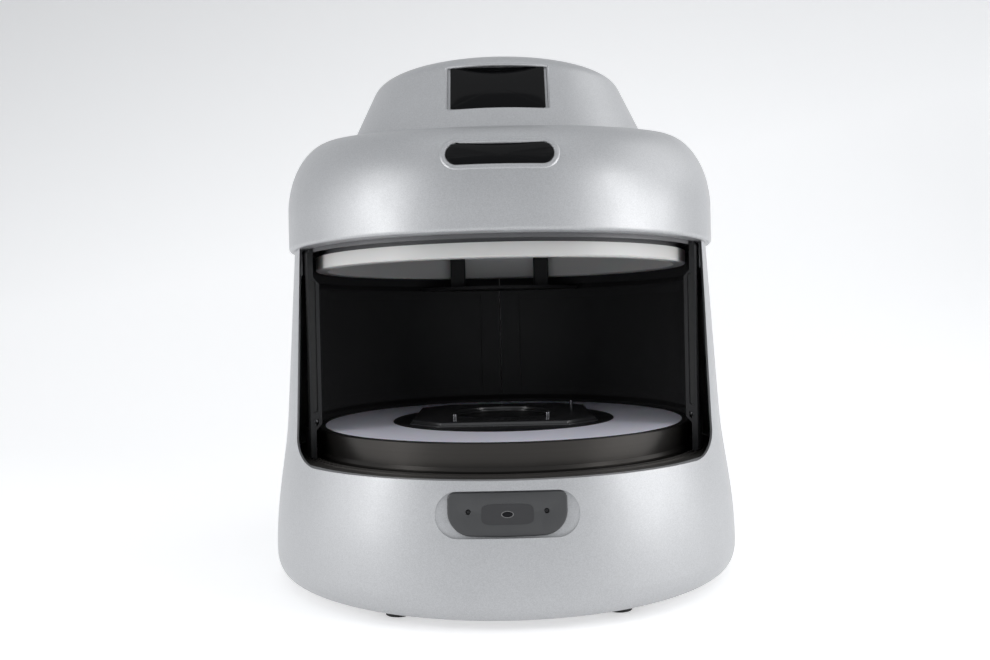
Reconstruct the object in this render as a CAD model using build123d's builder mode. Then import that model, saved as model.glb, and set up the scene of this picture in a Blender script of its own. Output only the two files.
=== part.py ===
from build123d import *
from math import atan, cos, degrees, radians, sin, sqrt
import os

# Automatic colony counter: a closed imaging chamber with an illuminated stage,
# two doors that slide round the stage, a ring light and a camera in the dome.
# Millimetres. The origin is on the bench, under the centre of the stage, +Z up,
# and the open front of the chamber faces -Y.

# ---- housing
foot_height = 7.0  # the feet hold the base this far off the bench
toe_radius = 184.5
belly_radius = 192.7
belly_rise = 16.0
flank_radius = 190.8
flank_rise = 36.0
rim_radius = 185.3
rim_rise = 40.5
column_radius = 181.7
column_rise = 32.5
column_top_radius = 173.6
opening_height = 165.0  # from the front rim up to the canopy
opening_width = 319.2
opening_top_width = 315.6
opening_corner = 20.0
housing_wall = 3.0
rim_width = 5.7
rim_lip = 1.5
deck_thickness = 3.5
deck_hole_radius = 163.0
edge_rounding = 1.2
seat_clearance = 0.3

# ---- canopy over the chamber
canopy_radius = 178.1
canopy_wall = 3.2
canopy_flange_radius = 165.5
canopy_flange = 3.5
canopy_edge_rounding = 3.0
shoulder_width = 41.6
shoulder_height = 62.4
canopy_crown = 96.3  # crown height over the canopy's lower edge, on the axis
crown_slope = 0.132  # the crown falls to the front
canopy_section_count = 7
canopy_hole_radius = 104.0

# ---- dome over the camera
dome_foot_radius = 124.2
dome_foot_rise = -5.8  # where the foot radius is measured, from the crown
dome_cone_height = 40.0
dome_cone_top_radius = 105.2
dome_top_radius = 42.0
dome_shoulder_height = 16.8
dome_shoulder_fullness = 0.724
dome_wall = 3.0
seam_depth = 1.4
seam_inset = 2.6
spigot_depth = 5.0
spigot_wall = 3.0
spigot_clearance = 0.4

# ---- black badges, left plain
dome_badge_width = 72.0
dome_badge_height = 39.6
dome_badge_side_gap = 2.4
dome_badge_lean = 25.0
dome_badge_depth = 7.2
dome_badge_rise = 20.4  # badge centre over the crown height on the axis
badge_thickness = 2.4
badge_clearance = 0.4
badge_corner = 2.0
badge_rounding = 1.0
canopy_badge_width = 75.5
canopy_badge_height = 20.8
canopy_badge_lean = 27.7
canopy_badge_depth = 5.4
canopy_badge_angle = 40.0  # place of the badge round the shoulder's curve
badge_backing = 2.5

# ---- front plate in the base
plate_width = 79.6
plate_height = 29.6
plate_thickness = 2.6
plate_top_corner = 5.0
plate_bottom_corner = 16.5
plate_bow = 1.8
plate_drop = 6.9  # from the rim down to the plate's top edge
pocket_margin = 0.6
pocket_width = 96.0
pocket_corner = 15.0
pocket_depth = 6.3  # from the housing's face down to the pocket's flat floor
plate_hole_spacing = 52.0
plate_hole_radius = 1.75
plate_hole_drop = 13.0
lens_width = 7.5
lens_height = 3.7
lens_drop = 14.9

# ---- sliding doors
door_radius = 161.0
door_wall = 2.6
door_step = 4.6  # the door's foot and head stand this far out
door_step_height = 5.0
door_foot_height = 22.0
door_head_height = 22.0
door_front_angle = 62.5  # open doors leave this angle clear on each side
door_seam_angle = 0.15
door_run = 0.8
post_radius = 170.0
post_angle = 2.2
post_foot_height = 29.0
post_groove_width = 4.6
post_groove_depth = 2.0
post_groove_margin = 7.0
seal_clearance = 0.2
panel_depth = 1.5
panel_slope = 6.0
panel_margin = 3.0
panel_rear_gap = 20.0
panel_arc = 76.0
door_screw_radius = 1.6
glide_count = 4
glide_arc = 4.0
track_height = 1.2
track_rib = 1.2
track_rib_height = 1.0
track_clearance = 0.5
upper_track_wall = 1.5
upper_track_drop = 3.0

# ---- illuminated stage
stage_rise = 22.4  # stage surface over the deck
drum_radius = 157.0
drum_band_radius = 158.5
drum_band_drop = 17.0
drum_band_taper = 2.5
drum_depth = 54.0
drum_wall = 3.0
drum_floor = 3.0
drum_rim = 5.0
ledge_width = 5.0
diffuser_thickness = 3.0
diffuser_clearance = 0.3
insert_radius = 95.0
insert_thickness = 3.6
insert_seat_width = 9.0
column_tube_radius = 86.0
column_tube_wall = 3.0
drum_screw_radius = 1.5
drum_screw_angle = 1.0
drum_screw_rise = 1.8
drum_screw_proud = 0.4
rim_screw_angle = 187.0

# ---- dish adapter on the stage
adapter_width = 153.0
adapter_corner = 25.0
adapter_base = 1.8
adapter_top = 2.4
adapter_step = 1.6
adapter_offset = 4.0
dish_radius = 45.5
dish_depth = 2.0
dish_ledge = 5.0
pin_radius = 1.8
pin_height = 5.0
pin_places = [(-40.0, -48.0), (36.0, -44.0), (64.0, 55.0)]

# ---- ring light over the stage
ring_radius = 157.0
ring_height = 10.6
ring_drop = 15.8  # from the canopy's lower edge down to the ring's lower edge
ring_inner_radius = 146.5
ring_rounding = 1.4
ring_spigot_wall = 1.5
carrier_radius = 153.8
carrier_wall = 1.5
carrier_flange_radius = 162.5
carrier_flange = 1.5
ring_board_wall = 1.6
board_gap = 0.4
led_size = 3.0
led_height = 1.0
ring_led_count = 36

# ---- chamber ceiling and rear bracket
ceiling_thickness = 2.0
ceiling_radius = 174.3
clamp_screw_place = 171.4
clamp_screw_count = 5
clamp_screw_start = -18.0
clamp_screw_spread = 216.0
screw_radius = 1.5
screw_head_radius = 2.8
screw_head_height = 1.8
screw_length = 11.0
screw_clearance = 0.2
boss_width = 9.0
boss_height = 20.0
boss_radius = 169.0
hood_wall = 1.5
hood_height = 48.0
hood_top_radius = 45.0
hood_flange_radius = 149.0
bracket_thickness = 3.5
bracket_drop = 25.0
bracket_half_width = 80.0
bracket_reach = 60.0
bracket_radius = 158.0
bracket_post_width = 15.0
bracket_post_thickness = 8.0
bracket_post_spacing = 84.0
bracket_post_place = 128.0
bracket_tab_reach = 8.0

# ---- camera
camera_deck_rise = 50.0  # over the ceiling
camera_deck_thickness = 3.0
camera_deck_radius = 112.0
camera_arm_radius = 160.0
camera_arm_width = 16.0
camera_arm_place = 154.2
deck_pillar_radius = 5.0
deck_pillar_bore = 2.0
camera_width = 58.0
camera_height = 44.0
camera_fin_count = 7
camera_fin_height = 5.0
camera_fin_width = 3.0
camera_nose_radius = 16.0
camera_nose_height = 6.0
lens_barrel_radius = 20.0
lens_barrel_length = 46.0
lens_collar_radius = 24.0
lens_collar = 4.0
focus_ring_radius = 26.0
focus_ring_height = 12.0
iris_ring_radius = 25.0
iris_ring_height = 8.0
ring_running_clearance = 0.05
ring_end_clearance = 0.2
ring_knurl_count = 24
ring_knurl_radius = 0.8
lens_glass_radius = 15.0
lens_glass_thickness = 5.0

# ---- base plate, feet and electronics
base_plate_thickness = 3.0
base_plate_inset = 8.5  # the toe of the housing stands this far outside the plate
base_ledge_width = 8.0
base_screw_count = 6
base_screw_start = 30.0
foot_radius = 9.5
foot_draft = 0.8
foot_inset = 12.5
foot_angle = 61.7
foot_screw_radius = 2.0
foot_screw_head = 3.5
foot_screw_recess = 3.0
vent_slot_length = 34.0
vent_slot_width = 3.5
vent_slot_count = 7
vent_slot_pitch = 9.0
pillar_radius = 6.0
pillar_place = 125.0
pillar_stud_radius = 3.0
pillar_stud_height = 8.0
stud_clearance = 0.1
lamp_board_radius = 150.0
lamp_board_rise = 8.0
lamp_led_rings = [100.0, 115.0, 130.0]
lamp_led_count = 30
circuit_width = 120.0
circuit_depth = 80.0
circuit_wall = 1.6
circuit_rise = 8.0
circuit_place = (0.0, 92.0)
standoff_radius = 3.0
supply_width = 110.0
supply_depth = 62.0
supply_height = 34.0
supply_place = (0.0, -60.0)

# ---- rear panel with inlet, switch and data socket
panel_width = 110.0
panel_height = 52.0
panel_wall = 2.0
panel_recess = 10.8  # from the flank in to the recess floor
panel_rise = 18.0  # over the base's lower edge
panel_window_border = 5.0
panel_screw_inset = 3.2
inlet_place = 30.0
inlet_width = 27.0
inlet_height = 20.0
inlet_depth = 22.0
inlet_wall = 2.0
inlet_flange = 2.4
inlet_pin_width = 2.0
inlet_pin_height = 4.6
inlet_pin_length = 14.0
inlet_pin_spacing = 7.0
switch_place = -4.0
switch_width = 13.0
switch_height = 19.0
switch_depth = 16.0
switch_wall = 1.5
switch_flange = 1.8
rocker_throw = 15.0
rocker_proud = 5.5
rocker_bevel = 1.2
rocker_depth = 3.0
rocker_pivot_radius = 1.5
rocker_pivot_depth = 2.0
rocker_pivot_length = 1.2
usb_place = -34.0
usb_width = 12.0
usb_height = 10.9
usb_depth = 14.0
usb_wall = 1.0
usb_tongue = 3.2
usb_tongue_inset = 5.0

# ---- heights that follow
base_bottom = foot_height
belly_z = base_bottom + belly_rise
flank_z = belly_z + flank_rise
rim_z = flank_z + rim_rise
column_z = rim_z + column_rise
canopy_z = rim_z + opening_height
deck_z = rim_z - rim_lip
deck_under_z = deck_z - deck_thickness
plate_top_z = base_bottom + base_plate_thickness
ceiling_z = canopy_z + canopy_flange
ceiling_top_z = ceiling_z + ceiling_thickness
crown_z = canopy_z + canopy_crown
stage_z = deck_z + stage_rise
seat_z = stage_z - diffuser_thickness
drum_floor_z = stage_z - drum_depth
insert_top_z = seat_z + insert_thickness
track_z = deck_z + track_height
door_bottom_z = track_z + door_run
door_top_z = canopy_z - door_run
ring_z = canopy_z - ring_drop
ring_top_z = ring_z + ring_height
camera_deck_z = ceiling_top_z + camera_deck_rise
camera_deck_top_z = camera_deck_z + camera_deck_thickness
crown_tilt = degrees(atan(crown_slope))
base_plate_radius = toe_radius - base_plate_inset
foot_place_radius = base_plate_radius - foot_inset
beyond_housing = 2 * max(belly_radius, rim_radius)  # past any wall of the housing
panel_flat = flank_radius - panel_recess
front_lean = degrees(atan((flank_radius - rim_radius) / rim_rise))
inner_crown_radius = canopy_radius - shoulder_width


def housing_side(inset):
    """The housing's side from the belly to the canopy, moved inwards by inset. Call inside a BuildLine."""
    skirt = Spline(
        (belly_radius - inset, belly_z),
        (flank_radius - inset, flank_z),
        (rim_radius - inset, rim_z),
        (column_radius - inset, column_z),
        tangents=[(0, 1), (column_top_radius - column_radius, canopy_z - column_z)],
    )
    column = Line(skirt @ 1, (column_top_radius - inset, canopy_z))
    return skirt, column


def ring_section(low_radius, high_radius, low_z, high_z):
    """A rectangle in the radius and height plane, for a revolve."""
    with Locations(((low_radius + high_radius) / 2, (low_z + high_z) / 2)):
        Rectangle(high_radius - low_radius, high_z - low_z)


def save(piece, name):
    piece.part.label = name
    export_step(piece.part, f"parts/{name}.step")


os.makedirs("parts", exist_ok=True)


def leaning_plane(point_radius, point_z, lean, depth):
    """A plane at the front, its normal leaning up by lean degrees, set depth under a surface point."""
    normal = Vector(0, -cos(radians(lean)), sin(radians(lean)))
    return Plane(origin=Vector(0, -point_radius, point_z) - normal * depth, x_dir=(1, 0, 0), z_dir=normal)


def crown_plane(rise):
    """The canopy's sloping crown, moved up by rise."""
    tilt = radians(crown_tilt)
    return Plane(origin=(0, 0, crown_z + rise), x_dir=(1, 0, 0), z_dir=(0, -sin(tilt), cos(tilt)))


def canopy_rings(inset):
    """Planes and half axes of the tilted ellipses from the canopy's wall over the shoulder to its crown."""
    rings = []
    for step in range(canopy_section_count):
        angle = radians(90 * step / (canopy_section_count - 1))
        radius = inner_crown_radius + (shoulder_width - inset) * cos(angle)
        height = crown_z - shoulder_height + (shoulder_height - inset) * sin(angle)
        tilt = atan(crown_slope * inner_crown_radius / radius)
        plane = Plane(origin=(0, 0, height), x_dir=(1, 0, 0), z_dir=(0, -sin(tilt), cos(tilt)))
        rings.append((plane, radius, radius / cos(tilt)))
    return rings


def foot_places():
    """The centres of the four feet, mirror images in both directions."""
    return GridLocations(
        2 * foot_place_radius * cos(radians(foot_angle)), 2 * foot_place_radius * sin(radians(foot_angle)), 2, 2
    )


def clamp_places(radius):
    """The places of the screws that clamp ceiling, canopy and housing together."""
    return PolarLocations(radius, clamp_screw_count, clamp_screw_start, clamp_screw_spread, endpoint=True)


# ---- housing: the hollow, less the deck, the recess backings and the screw bosses
pocket_height = plate_height + 2 * pocket_margin
pocket_z = rim_z - plate_drop - plate_height / 2
pocket_radius = rim_radius + (rim_z - pocket_z) * (flank_radius - rim_radius) / rim_rise
pocket_floor = leaning_plane(pocket_radius, pocket_z, front_lean, pocket_depth)
panel_z = base_bottom + panel_rise + panel_height / 2
ledge_z = plate_top_z + housing_wall

with BuildPart() as housing_hollow:
    with BuildSketch(Plane.XZ):
        with BuildLine():
            skirt, column = housing_side(housing_wall)
            Polyline(column @ 1, (0, canopy_z), (0, ledge_z), (toe_radius, ledge_z), skirt @ 0)
        make_face()
    revolve()
    with BuildSketch(Plane.XY.offset(deck_under_z)):
        Circle(beyond_housing)
        Circle(deck_hole_radius, mode=Mode.SUBTRACT)
    extrude(amount=deck_thickness, mode=Mode.SUBTRACT)
    with BuildSketch(Plane.XY.offset(deck_z)):
        Circle(beyond_housing)
        Circle(rim_radius - rim_width, mode=Mode.SUBTRACT)
    extrude(amount=rim_lip, mode=Mode.SUBTRACT)
    with BuildSketch(pocket_floor.offset(-housing_wall)):
        Rectangle(pocket_width + 2 * housing_wall, pocket_height + 2 * housing_wall)
    extrude(amount=beyond_housing, mode=Mode.SUBTRACT)
    with BuildSketch(Plane.XZ.offset(-panel_flat + housing_wall)):
        with Locations((0, panel_z)):
            Rectangle(panel_width + 2 * housing_wall, panel_height + 2 * housing_wall)
    extrude(amount=-beyond_housing, mode=Mode.SUBTRACT)
    with BuildSketch(Plane.XY.offset(canopy_z)):
        with clamp_places(boss_radius + boss_width / 2):
            Rectangle(boss_width, boss_width)
    extrude(amount=-boss_height, mode=Mode.SUBTRACT)

with BuildPart() as base_shell:
    with BuildSketch(Plane.XZ):
        with BuildLine():
            toe = EllipticalCenterArc(
                (toe_radius, belly_z), belly_radius - toe_radius, belly_rise, start_angle=270, arc_size=90
            )
            skirt, column = housing_side(0)
            Polyline(column @ 1, (0, canopy_z), (0, base_bottom), toe @ 0)
        make_face()
    revolve()
    add(housing_hollow.part, mode=Mode.SUBTRACT)
    with BuildSketch(Plane.XY.offset(base_bottom)):
        Circle(base_plate_radius + seat_clearance)
    extrude(amount=base_plate_thickness, mode=Mode.SUBTRACT)
    with BuildSketch(Plane.XY.offset(plate_top_z)):
        Circle(base_plate_radius - base_ledge_width)
    extrude(amount=housing_wall, mode=Mode.SUBTRACT)
    with BuildSketch(Plane.XY.offset(plate_top_z)):
        with PolarLocations(base_plate_radius - base_ledge_width / 2, base_screw_count, base_screw_start):
            Circle(screw_radius)
    extrude(amount=housing_wall, mode=Mode.SUBTRACT)
    with BuildSketch(Plane.XZ) as front_opening:
        with BuildLine():
            Polyline(
                (-opening_width / 2, rim_z),
                (opening_width / 2, rim_z),
                (opening_top_width / 2, canopy_z),
                (-opening_top_width / 2, canopy_z),
                close=True,
            )
        make_face()
        fillet(front_opening.vertices().group_by(Axis.Y)[0], opening_corner)
    extrude(amount=beyond_housing, mode=Mode.SUBTRACT)
    with BuildSketch(pocket_floor):
        RectangleRounded(pocket_width, pocket_height, pocket_corner)
    extrude(amount=beyond_housing, mode=Mode.SUBTRACT)
    with BuildSketch(Plane.XZ.offset(-panel_flat)):
        with Locations((0, panel_z)):
            RectangleRounded(panel_width + 2 * seat_clearance, panel_height + 2 * seat_clearance, badge_corner)
    extrude(amount=-beyond_housing, mode=Mode.SUBTRACT)
    with BuildSketch(Plane.XZ.offset(-panel_flat + housing_wall)):
        with Locations((0, panel_z)):
            Rectangle(panel_width - 2 * panel_window_border, panel_height - 2 * panel_window_border)
    extrude(amount=-housing_wall, mode=Mode.SUBTRACT)
    with BuildSketch(Plane.XY.offset(canopy_z)):
        with clamp_places(clamp_screw_place):
            Circle(screw_radius)
    extrude(amount=-screw_length, mode=Mode.SUBTRACT)
save(base_shell, "base_shell")

# ---- front plate with its status lens, set in the front pocket
plate_half = plate_height / 2
plate_hole_place = plate_half - plate_hole_drop
lens_place = plate_half - lens_drop

with BuildPart() as front_plate:
    with BuildSketch(pocket_floor) as plate_outline:
        with BuildLine():
            Polyline(
                (-plate_width / 2, plate_bow - plate_half),
                (-plate_width / 2, plate_half),
                (plate_width / 2, plate_half),
                (plate_width / 2, plate_bow - plate_half),
            )
            ThreePointArc(
                (plate_width / 2, plate_bow - plate_half),
                (0, -plate_half),
                (-plate_width / 2, plate_bow - plate_half),
            )
        make_face()
        fillet(plate_outline.vertices().group_by(Axis.Y)[-1], plate_top_corner)
        fillet(plate_outline.vertices().group_by(Axis.Y)[0], plate_bottom_corner)
    extrude(amount=plate_thickness)
    fillet(front_plate.faces().sort_by(Axis((0, 0, 0), pocket_floor.z_dir))[-1].edges(), edge_rounding)
    with BuildSketch(pocket_floor):
        with Locations((0, plate_hole_place)):
            with GridLocations(plate_hole_spacing, 0, 2, 1):
                Circle(plate_hole_radius)
        with Locations((0, lens_place)):
            Ellipse(lens_width / 2 + stud_clearance, lens_height / 2 + stud_clearance)
    extrude(amount=plate_thickness, mode=Mode.SUBTRACT)
save(front_plate, "front_plate")

with BuildPart() as status_lens:
    with BuildSketch(pocket_floor):
        with Locations((0, lens_place)):
            Ellipse(lens_width / 2, lens_height / 2)
    extrude(amount=plate_thickness)
    fillet(status_lens.faces().sort_by(Axis((0, 0, 0), pocket_floor.z_dir))[-1].edges(), edge_rounding / 2)
save(status_lens, "status_lens")

with BuildPart() as plate_screws:
    with BuildSketch(pocket_floor):
        with Locations((0, plate_hole_place)):
            with GridLocations(plate_hole_spacing, 0, 2, 1):
                Circle(plate_hole_radius - stud_clearance)
    extrude(amount=plate_thickness / 2)
save(plate_screws, "plate_screws")

# ---- canopy: lofted from tilted ellipses, because its crown falls to the front
badge_angle = radians(canopy_badge_angle)
canopy_badge_radius = inner_crown_radius + shoulder_width * cos(badge_angle)
canopy_badge_z = crown_z - crown_slope * inner_crown_radius - shoulder_height * (1 - sin(badge_angle))
canopy_badge_floor = leaning_plane(canopy_badge_radius, canopy_badge_z, canopy_badge_lean, canopy_badge_depth)

with BuildPart() as canopy_hollow:
    with BuildSketch(Plane.XY.offset(ceiling_z)):
        Circle(canopy_radius - canopy_wall)
    extrude(amount=canopy_crown)
    split(bisect_by=canopy_rings(canopy_wall)[0][0], keep=Keep.BOTTOM)
    for plane, half_width, half_length in canopy_rings(canopy_wall):
        with BuildSketch(plane):
            Ellipse(half_width, half_length)
    loft()
    with BuildSketch(canopy_badge_floor.offset(-badge_backing)):
        SlotOverall(canopy_badge_width + 4 * badge_backing, canopy_badge_height + 4 * badge_backing)
    extrude(amount=canopy_radius, dir=(0, -1, 0), mode=Mode.SUBTRACT)

with BuildPart() as canopy_shell:
    with BuildSketch(Plane.XY.offset(canopy_z)):
        Circle(canopy_radius)
    extrude(amount=canopy_crown)
    split(bisect_by=canopy_rings(0)[0][0], keep=Keep.BOTTOM)
    for plane, half_width, half_length in canopy_rings(0):
        with BuildSketch(plane):
            Ellipse(half_width, half_length)
    loft()
    add(canopy_hollow.part, mode=Mode.SUBTRACT)
    with BuildSketch(Plane.XY.offset(canopy_z)):
        Circle(canopy_flange_radius)
        with clamp_places(clamp_screw_place):
            Circle(screw_radius + screw_clearance)
    extrude(amount=canopy_flange, mode=Mode.SUBTRACT)
    with BuildSketch(Plane.XY.offset(ceiling_z)):
        Circle(canopy_hole_radius)
    extrude(amount=2 * canopy_crown, mode=Mode.SUBTRACT)
    with BuildSketch(canopy_badge_floor):
        SlotOverall(canopy_badge_width + 2 * badge_clearance, canopy_badge_height + 2 * badge_clearance)
    extrude(amount=canopy_radius, dir=(0, -1, 0), mode=Mode.SUBTRACT)
    fillet(canopy_shell.faces().sort_by(Axis.Z)[0].outer_wire().edges(), canopy_edge_rounding)
save(canopy_shell, "canopy_shell")

with BuildPart() as canopy_badge:
    with BuildSketch(canopy_badge_floor):
        SlotOverall(canopy_badge_width, canopy_badge_height)
    extrude(amount=badge_thickness, dir=(0, -1, 0))
    fillet(canopy_badge.faces().sort_by(Axis((0, 0, 0), canopy_badge_floor.z_dir))[-1].edges(), badge_rounding)
save(canopy_badge, "canopy_badge")

# ---- dome: a cone with a full shoulder, cut off along the canopy's crown
cone_slope = (dome_foot_radius - dome_cone_top_radius) / dome_cone_height
dome_foot_z = crown_z + dome_foot_rise
cone_top_z = dome_foot_z + dome_cone_height
dome_top_z = cone_top_z + dome_shoulder_height
crown_radius_on_axis = dome_foot_radius + cone_slope * dome_foot_rise
foot_front = crown_radius_on_axis / (1 - cone_slope * crown_slope)
foot_rear = crown_radius_on_axis / (1 + cone_slope * crown_slope)
dome_badge_z = crown_z + dome_badge_rise
dome_badge_radius = dome_foot_radius - cone_slope * (dome_badge_z - dome_foot_z)
dome_badge_floor = leaning_plane(dome_badge_radius, dome_badge_z, dome_badge_lean, dome_badge_depth)


def dome_profile(inset):
    """The dome's half section, moved inwards by inset, for a revolve. Call inside a BuildLine."""
    low_z = canopy_z
    low_radius = dome_foot_radius + cone_slope * (dome_foot_z - low_z) - inset
    shoulder_radius = dome_top_radius + (dome_cone_top_radius - dome_top_radius) * dome_shoulder_fullness
    shoulder_z = cone_top_z + dome_shoulder_height * dome_shoulder_fullness
    cone = Line((low_radius, low_z), (dome_cone_top_radius - inset, cone_top_z))
    shoulder = Spline(
        cone @ 1,
        (shoulder_radius - inset / 2, shoulder_z - inset / 2),
        (dome_top_radius, dome_top_z - inset),
        tangents=[(-cone_slope, 1), (-1, 0)],
    )
    Polyline(shoulder @ 1, (0, dome_top_z - inset), (0, low_z), cone @ 0)


with BuildPart() as dome_hollow:
    with BuildSketch(Plane.XZ):
        with BuildLine():
            dome_profile(dome_wall)
        make_face()
    revolve()
    split(bisect_by=crown_plane(dome_wall), keep=Keep.TOP)
    with BuildSketch(dome_badge_floor.offset(-badge_backing)):
        Rectangle(
            dome_badge_width + 2 * dome_badge_side_gap + 4 * badge_backing,
            dome_badge_height + 4 * badge_backing,
        )
    extrude(amount=dome_foot_radius, dir=(0, -1, 0), mode=Mode.SUBTRACT)

spigot_radius = canopy_hole_radius - spigot_clearance

with BuildPart() as dome_bore:
    with BuildSketch(Plane.XY.offset(canopy_z)):
        Circle(spigot_radius - spigot_wall)
    extrude(amount=2 * canopy_crown)
    split(bisect_by=crown_plane(2 * dome_wall), keep=Keep.BOTTOM)

with BuildPart() as dome_spigot:
    with BuildSketch(Plane.XY.offset(canopy_z)):
        Circle(spigot_radius)
        Circle(spigot_radius - spigot_wall, mode=Mode.SUBTRACT)
    extrude(amount=2 * canopy_crown)
    split(bisect_by=crown_plane(-spigot_depth), keep=Keep.TOP)
    split(bisect_by=crown_plane(dome_wall), keep=Keep.BOTTOM)

with BuildPart() as dome_cover:
    with BuildSketch(Plane.XZ):
        with BuildLine():
            dome_profile(0)
        make_face()
    revolve()
    split(bisect_by=crown_plane(0), keep=Keep.TOP)
    add(dome_hollow.part, mode=Mode.SUBTRACT)
    add(dome_bore.part, mode=Mode.SUBTRACT)
    add(dome_spigot.part)
    with BuildSketch(crown_plane(0)):
        Circle(canopy_radius)
        with Locations((0, (foot_rear - foot_front) / 2)):
            Ellipse(
                crown_radius_on_axis - seam_inset,
                (foot_rear + foot_front) / 2 - seam_inset,
                mode=Mode.SUBTRACT,
            )
    extrude(amount=seam_depth, mode=Mode.SUBTRACT)
    with BuildSketch(dome_badge_floor):
        RectangleRounded(
            dome_badge_width + 2 * dome_badge_side_gap,
            dome_badge_height + 2 * badge_clearance,
            badge_corner,
        )
    extrude(amount=dome_foot_radius, dir=(0, -1, 0), mode=Mode.SUBTRACT)
save(dome_cover, "dome_cover")

with BuildPart() as dome_badge:
    with BuildSketch(dome_badge_floor):
        RectangleRounded(dome_badge_width, dome_badge_height, badge_corner)
    extrude(amount=badge_thickness, dir=(0, -1, 0))
    fillet(dome_badge.faces().sort_by(Axis((0, 0, 0), dome_badge_floor.z_dir))[-1].edges(), badge_rounding)
save(dome_badge, "dome_badge")

# ---- chamber ceiling, clamped with the canopy onto the housing's bosses
bracket_tab_place = bracket_post_place - bracket_post_thickness / 2 - bracket_tab_reach / 2

with BuildPart() as ceiling_plate:
    with BuildSketch(Plane.XY.offset(ceiling_z)):
        Circle(ceiling_radius)
        Circle(ring_inner_radius, mode=Mode.SUBTRACT)
        with Locations((0, (bracket_tab_place + ring_radius) / 2)):
            with GridLocations(bracket_post_spacing, 0, 2, 1):
                Rectangle(bracket_post_width, ring_radius - bracket_tab_place)
        with clamp_places(clamp_screw_place):
            Circle(screw_radius + screw_clearance, mode=Mode.SUBTRACT)
    extrude(amount=ceiling_thickness)
save(ceiling_plate, "ceiling_plate")

with BuildPart() as clamp_screws:
    with BuildSketch(Plane.XY.offset(ceiling_top_z)):
        with clamp_places(clamp_screw_place):
            Circle(screw_radius - screw_clearance / 4)
    extrude(amount=-screw_length)
    with BuildSketch(Plane.XY.offset(ceiling_top_z)):
        with clamp_places(clamp_screw_place):
            Circle(screw_head_radius)
    extrude(amount=screw_head_height)
    with BuildSketch(Plane.XY.offset(ceiling_top_z + screw_head_height / 2)):
        with clamp_places(clamp_screw_place):
            RegularPolygon(screw_radius, 6)
    extrude(amount=screw_head_height, mode=Mode.SUBTRACT)
save(clamp_screws, "clamp_screws")

with BuildPart() as upper_track:
    with BuildSketch(Plane.XY.offset(canopy_z - upper_track_drop)):
        Circle(canopy_flange_radius - track_clearance / 4)
        Circle(canopy_flange_radius - track_clearance / 4 - upper_track_wall, mode=Mode.SUBTRACT)
    extrude(amount=upper_track_drop + canopy_flange)
save(upper_track, "upper_track")

# ---- light ring: opal hoop, its carrier and its lamp board
with BuildPart() as light_ring:
    with BuildSketch(Plane.XZ) as hoop:
        ring_section(ring_inner_radius, ring_radius, ring_z, ring_top_z)
        fillet(hoop.vertices().group_by(Axis.Y)[0].sort_by(Axis.X)[-1], ring_rounding)
        fillet(hoop.vertices().group_by(Axis.Y)[0].sort_by(Axis.X)[0], edge_rounding)
        ring_section(ring_inner_radius, ring_inner_radius + ring_spigot_wall, ring_top_z, ceiling_z)
    revolve()
save(light_ring, "light_ring")

with BuildPart() as ring_carrier:
    with BuildSketch(Plane.XZ):
        ring_section(carrier_radius - carrier_wall, carrier_radius, ring_top_z, ceiling_z)
        ring_section(carrier_radius - carrier_wall, carrier_flange_radius, ceiling_z - carrier_flange, ceiling_z)
    revolve()
save(ring_carrier, "ring_carrier")

ring_led_place = (ring_inner_radius + ring_spigot_wall + carrier_radius - carrier_wall) / 2
ring_board_z = ring_top_z + led_height

with BuildPart() as ring_board:
    with BuildSketch(Plane.XY.offset(ring_board_z)):
        Circle(carrier_radius - carrier_wall - board_gap / 4)
        Circle(ring_inner_radius + ring_spigot_wall + board_gap / 4, mode=Mode.SUBTRACT)
    extrude(amount=ring_board_wall)
save(ring_board, "ring_board")

with BuildPart() as ring_leds:
    with BuildSketch(Plane.XY.offset(ring_top_z)):
        with PolarLocations(ring_led_place, ring_led_count):
            Rectangle(led_size, led_size)
    extrude(amount=led_height)
save(ring_leds, "ring_leds")

with BuildPart() as light_hood:
    with BuildSketch(Plane.XZ):
        with BuildLine():
            Polyline(
                (hood_flange_radius, ceiling_top_z),
                (hood_flange_radius, ceiling_top_z + hood_wall),
                (ring_inner_radius, ceiling_top_z + hood_wall),
                (hood_top_radius, ceiling_top_z + hood_height),
                (hood_top_radius - hood_wall, ceiling_top_z + hood_height - hood_wall),
                (ring_inner_radius - hood_wall, ceiling_top_z),
                close=True,
            )
        make_face()
    revolve()
save(light_hood, "light_hood")

# ---- rear bracket: a crescent shelf hung on two posts from the ceiling's tabs
shelf_z = canopy_z - bracket_drop
chord_place = sqrt(bracket_radius**2 - bracket_half_width**2)
crescent_sagitta = chord_place - (bracket_radius - bracket_reach)
crescent_radius = (bracket_half_width**2 + crescent_sagitta**2) / (2 * crescent_sagitta)

with BuildPart() as rear_shelf:
    with BuildSketch(Plane.XY.offset(shelf_z - bracket_thickness)):
        Circle(bracket_radius)
        with Locations((0, bracket_radius - bracket_reach + crescent_radius)):
            Circle(crescent_radius, mode=Mode.INTERSECT)
    extrude(amount=bracket_thickness)
    fillet(rear_shelf.faces().sort_by(Axis.Z)[0].edges(), edge_rounding)
save(rear_shelf, "rear_shelf")

with BuildPart() as shelf_posts:
    with BuildSketch(Plane.XY.offset(shelf_z)):
        with Locations((0, bracket_post_place)):
            with GridLocations(bracket_post_spacing, 0, 2, 1):
                Rectangle(bracket_post_width, bracket_post_thickness)
    extrude(amount=ceiling_z - shelf_z)
    chamfer(shelf_posts.edges().filter_by(Axis.Z), edge_rounding)
save(shelf_posts, "shelf_posts")

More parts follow.
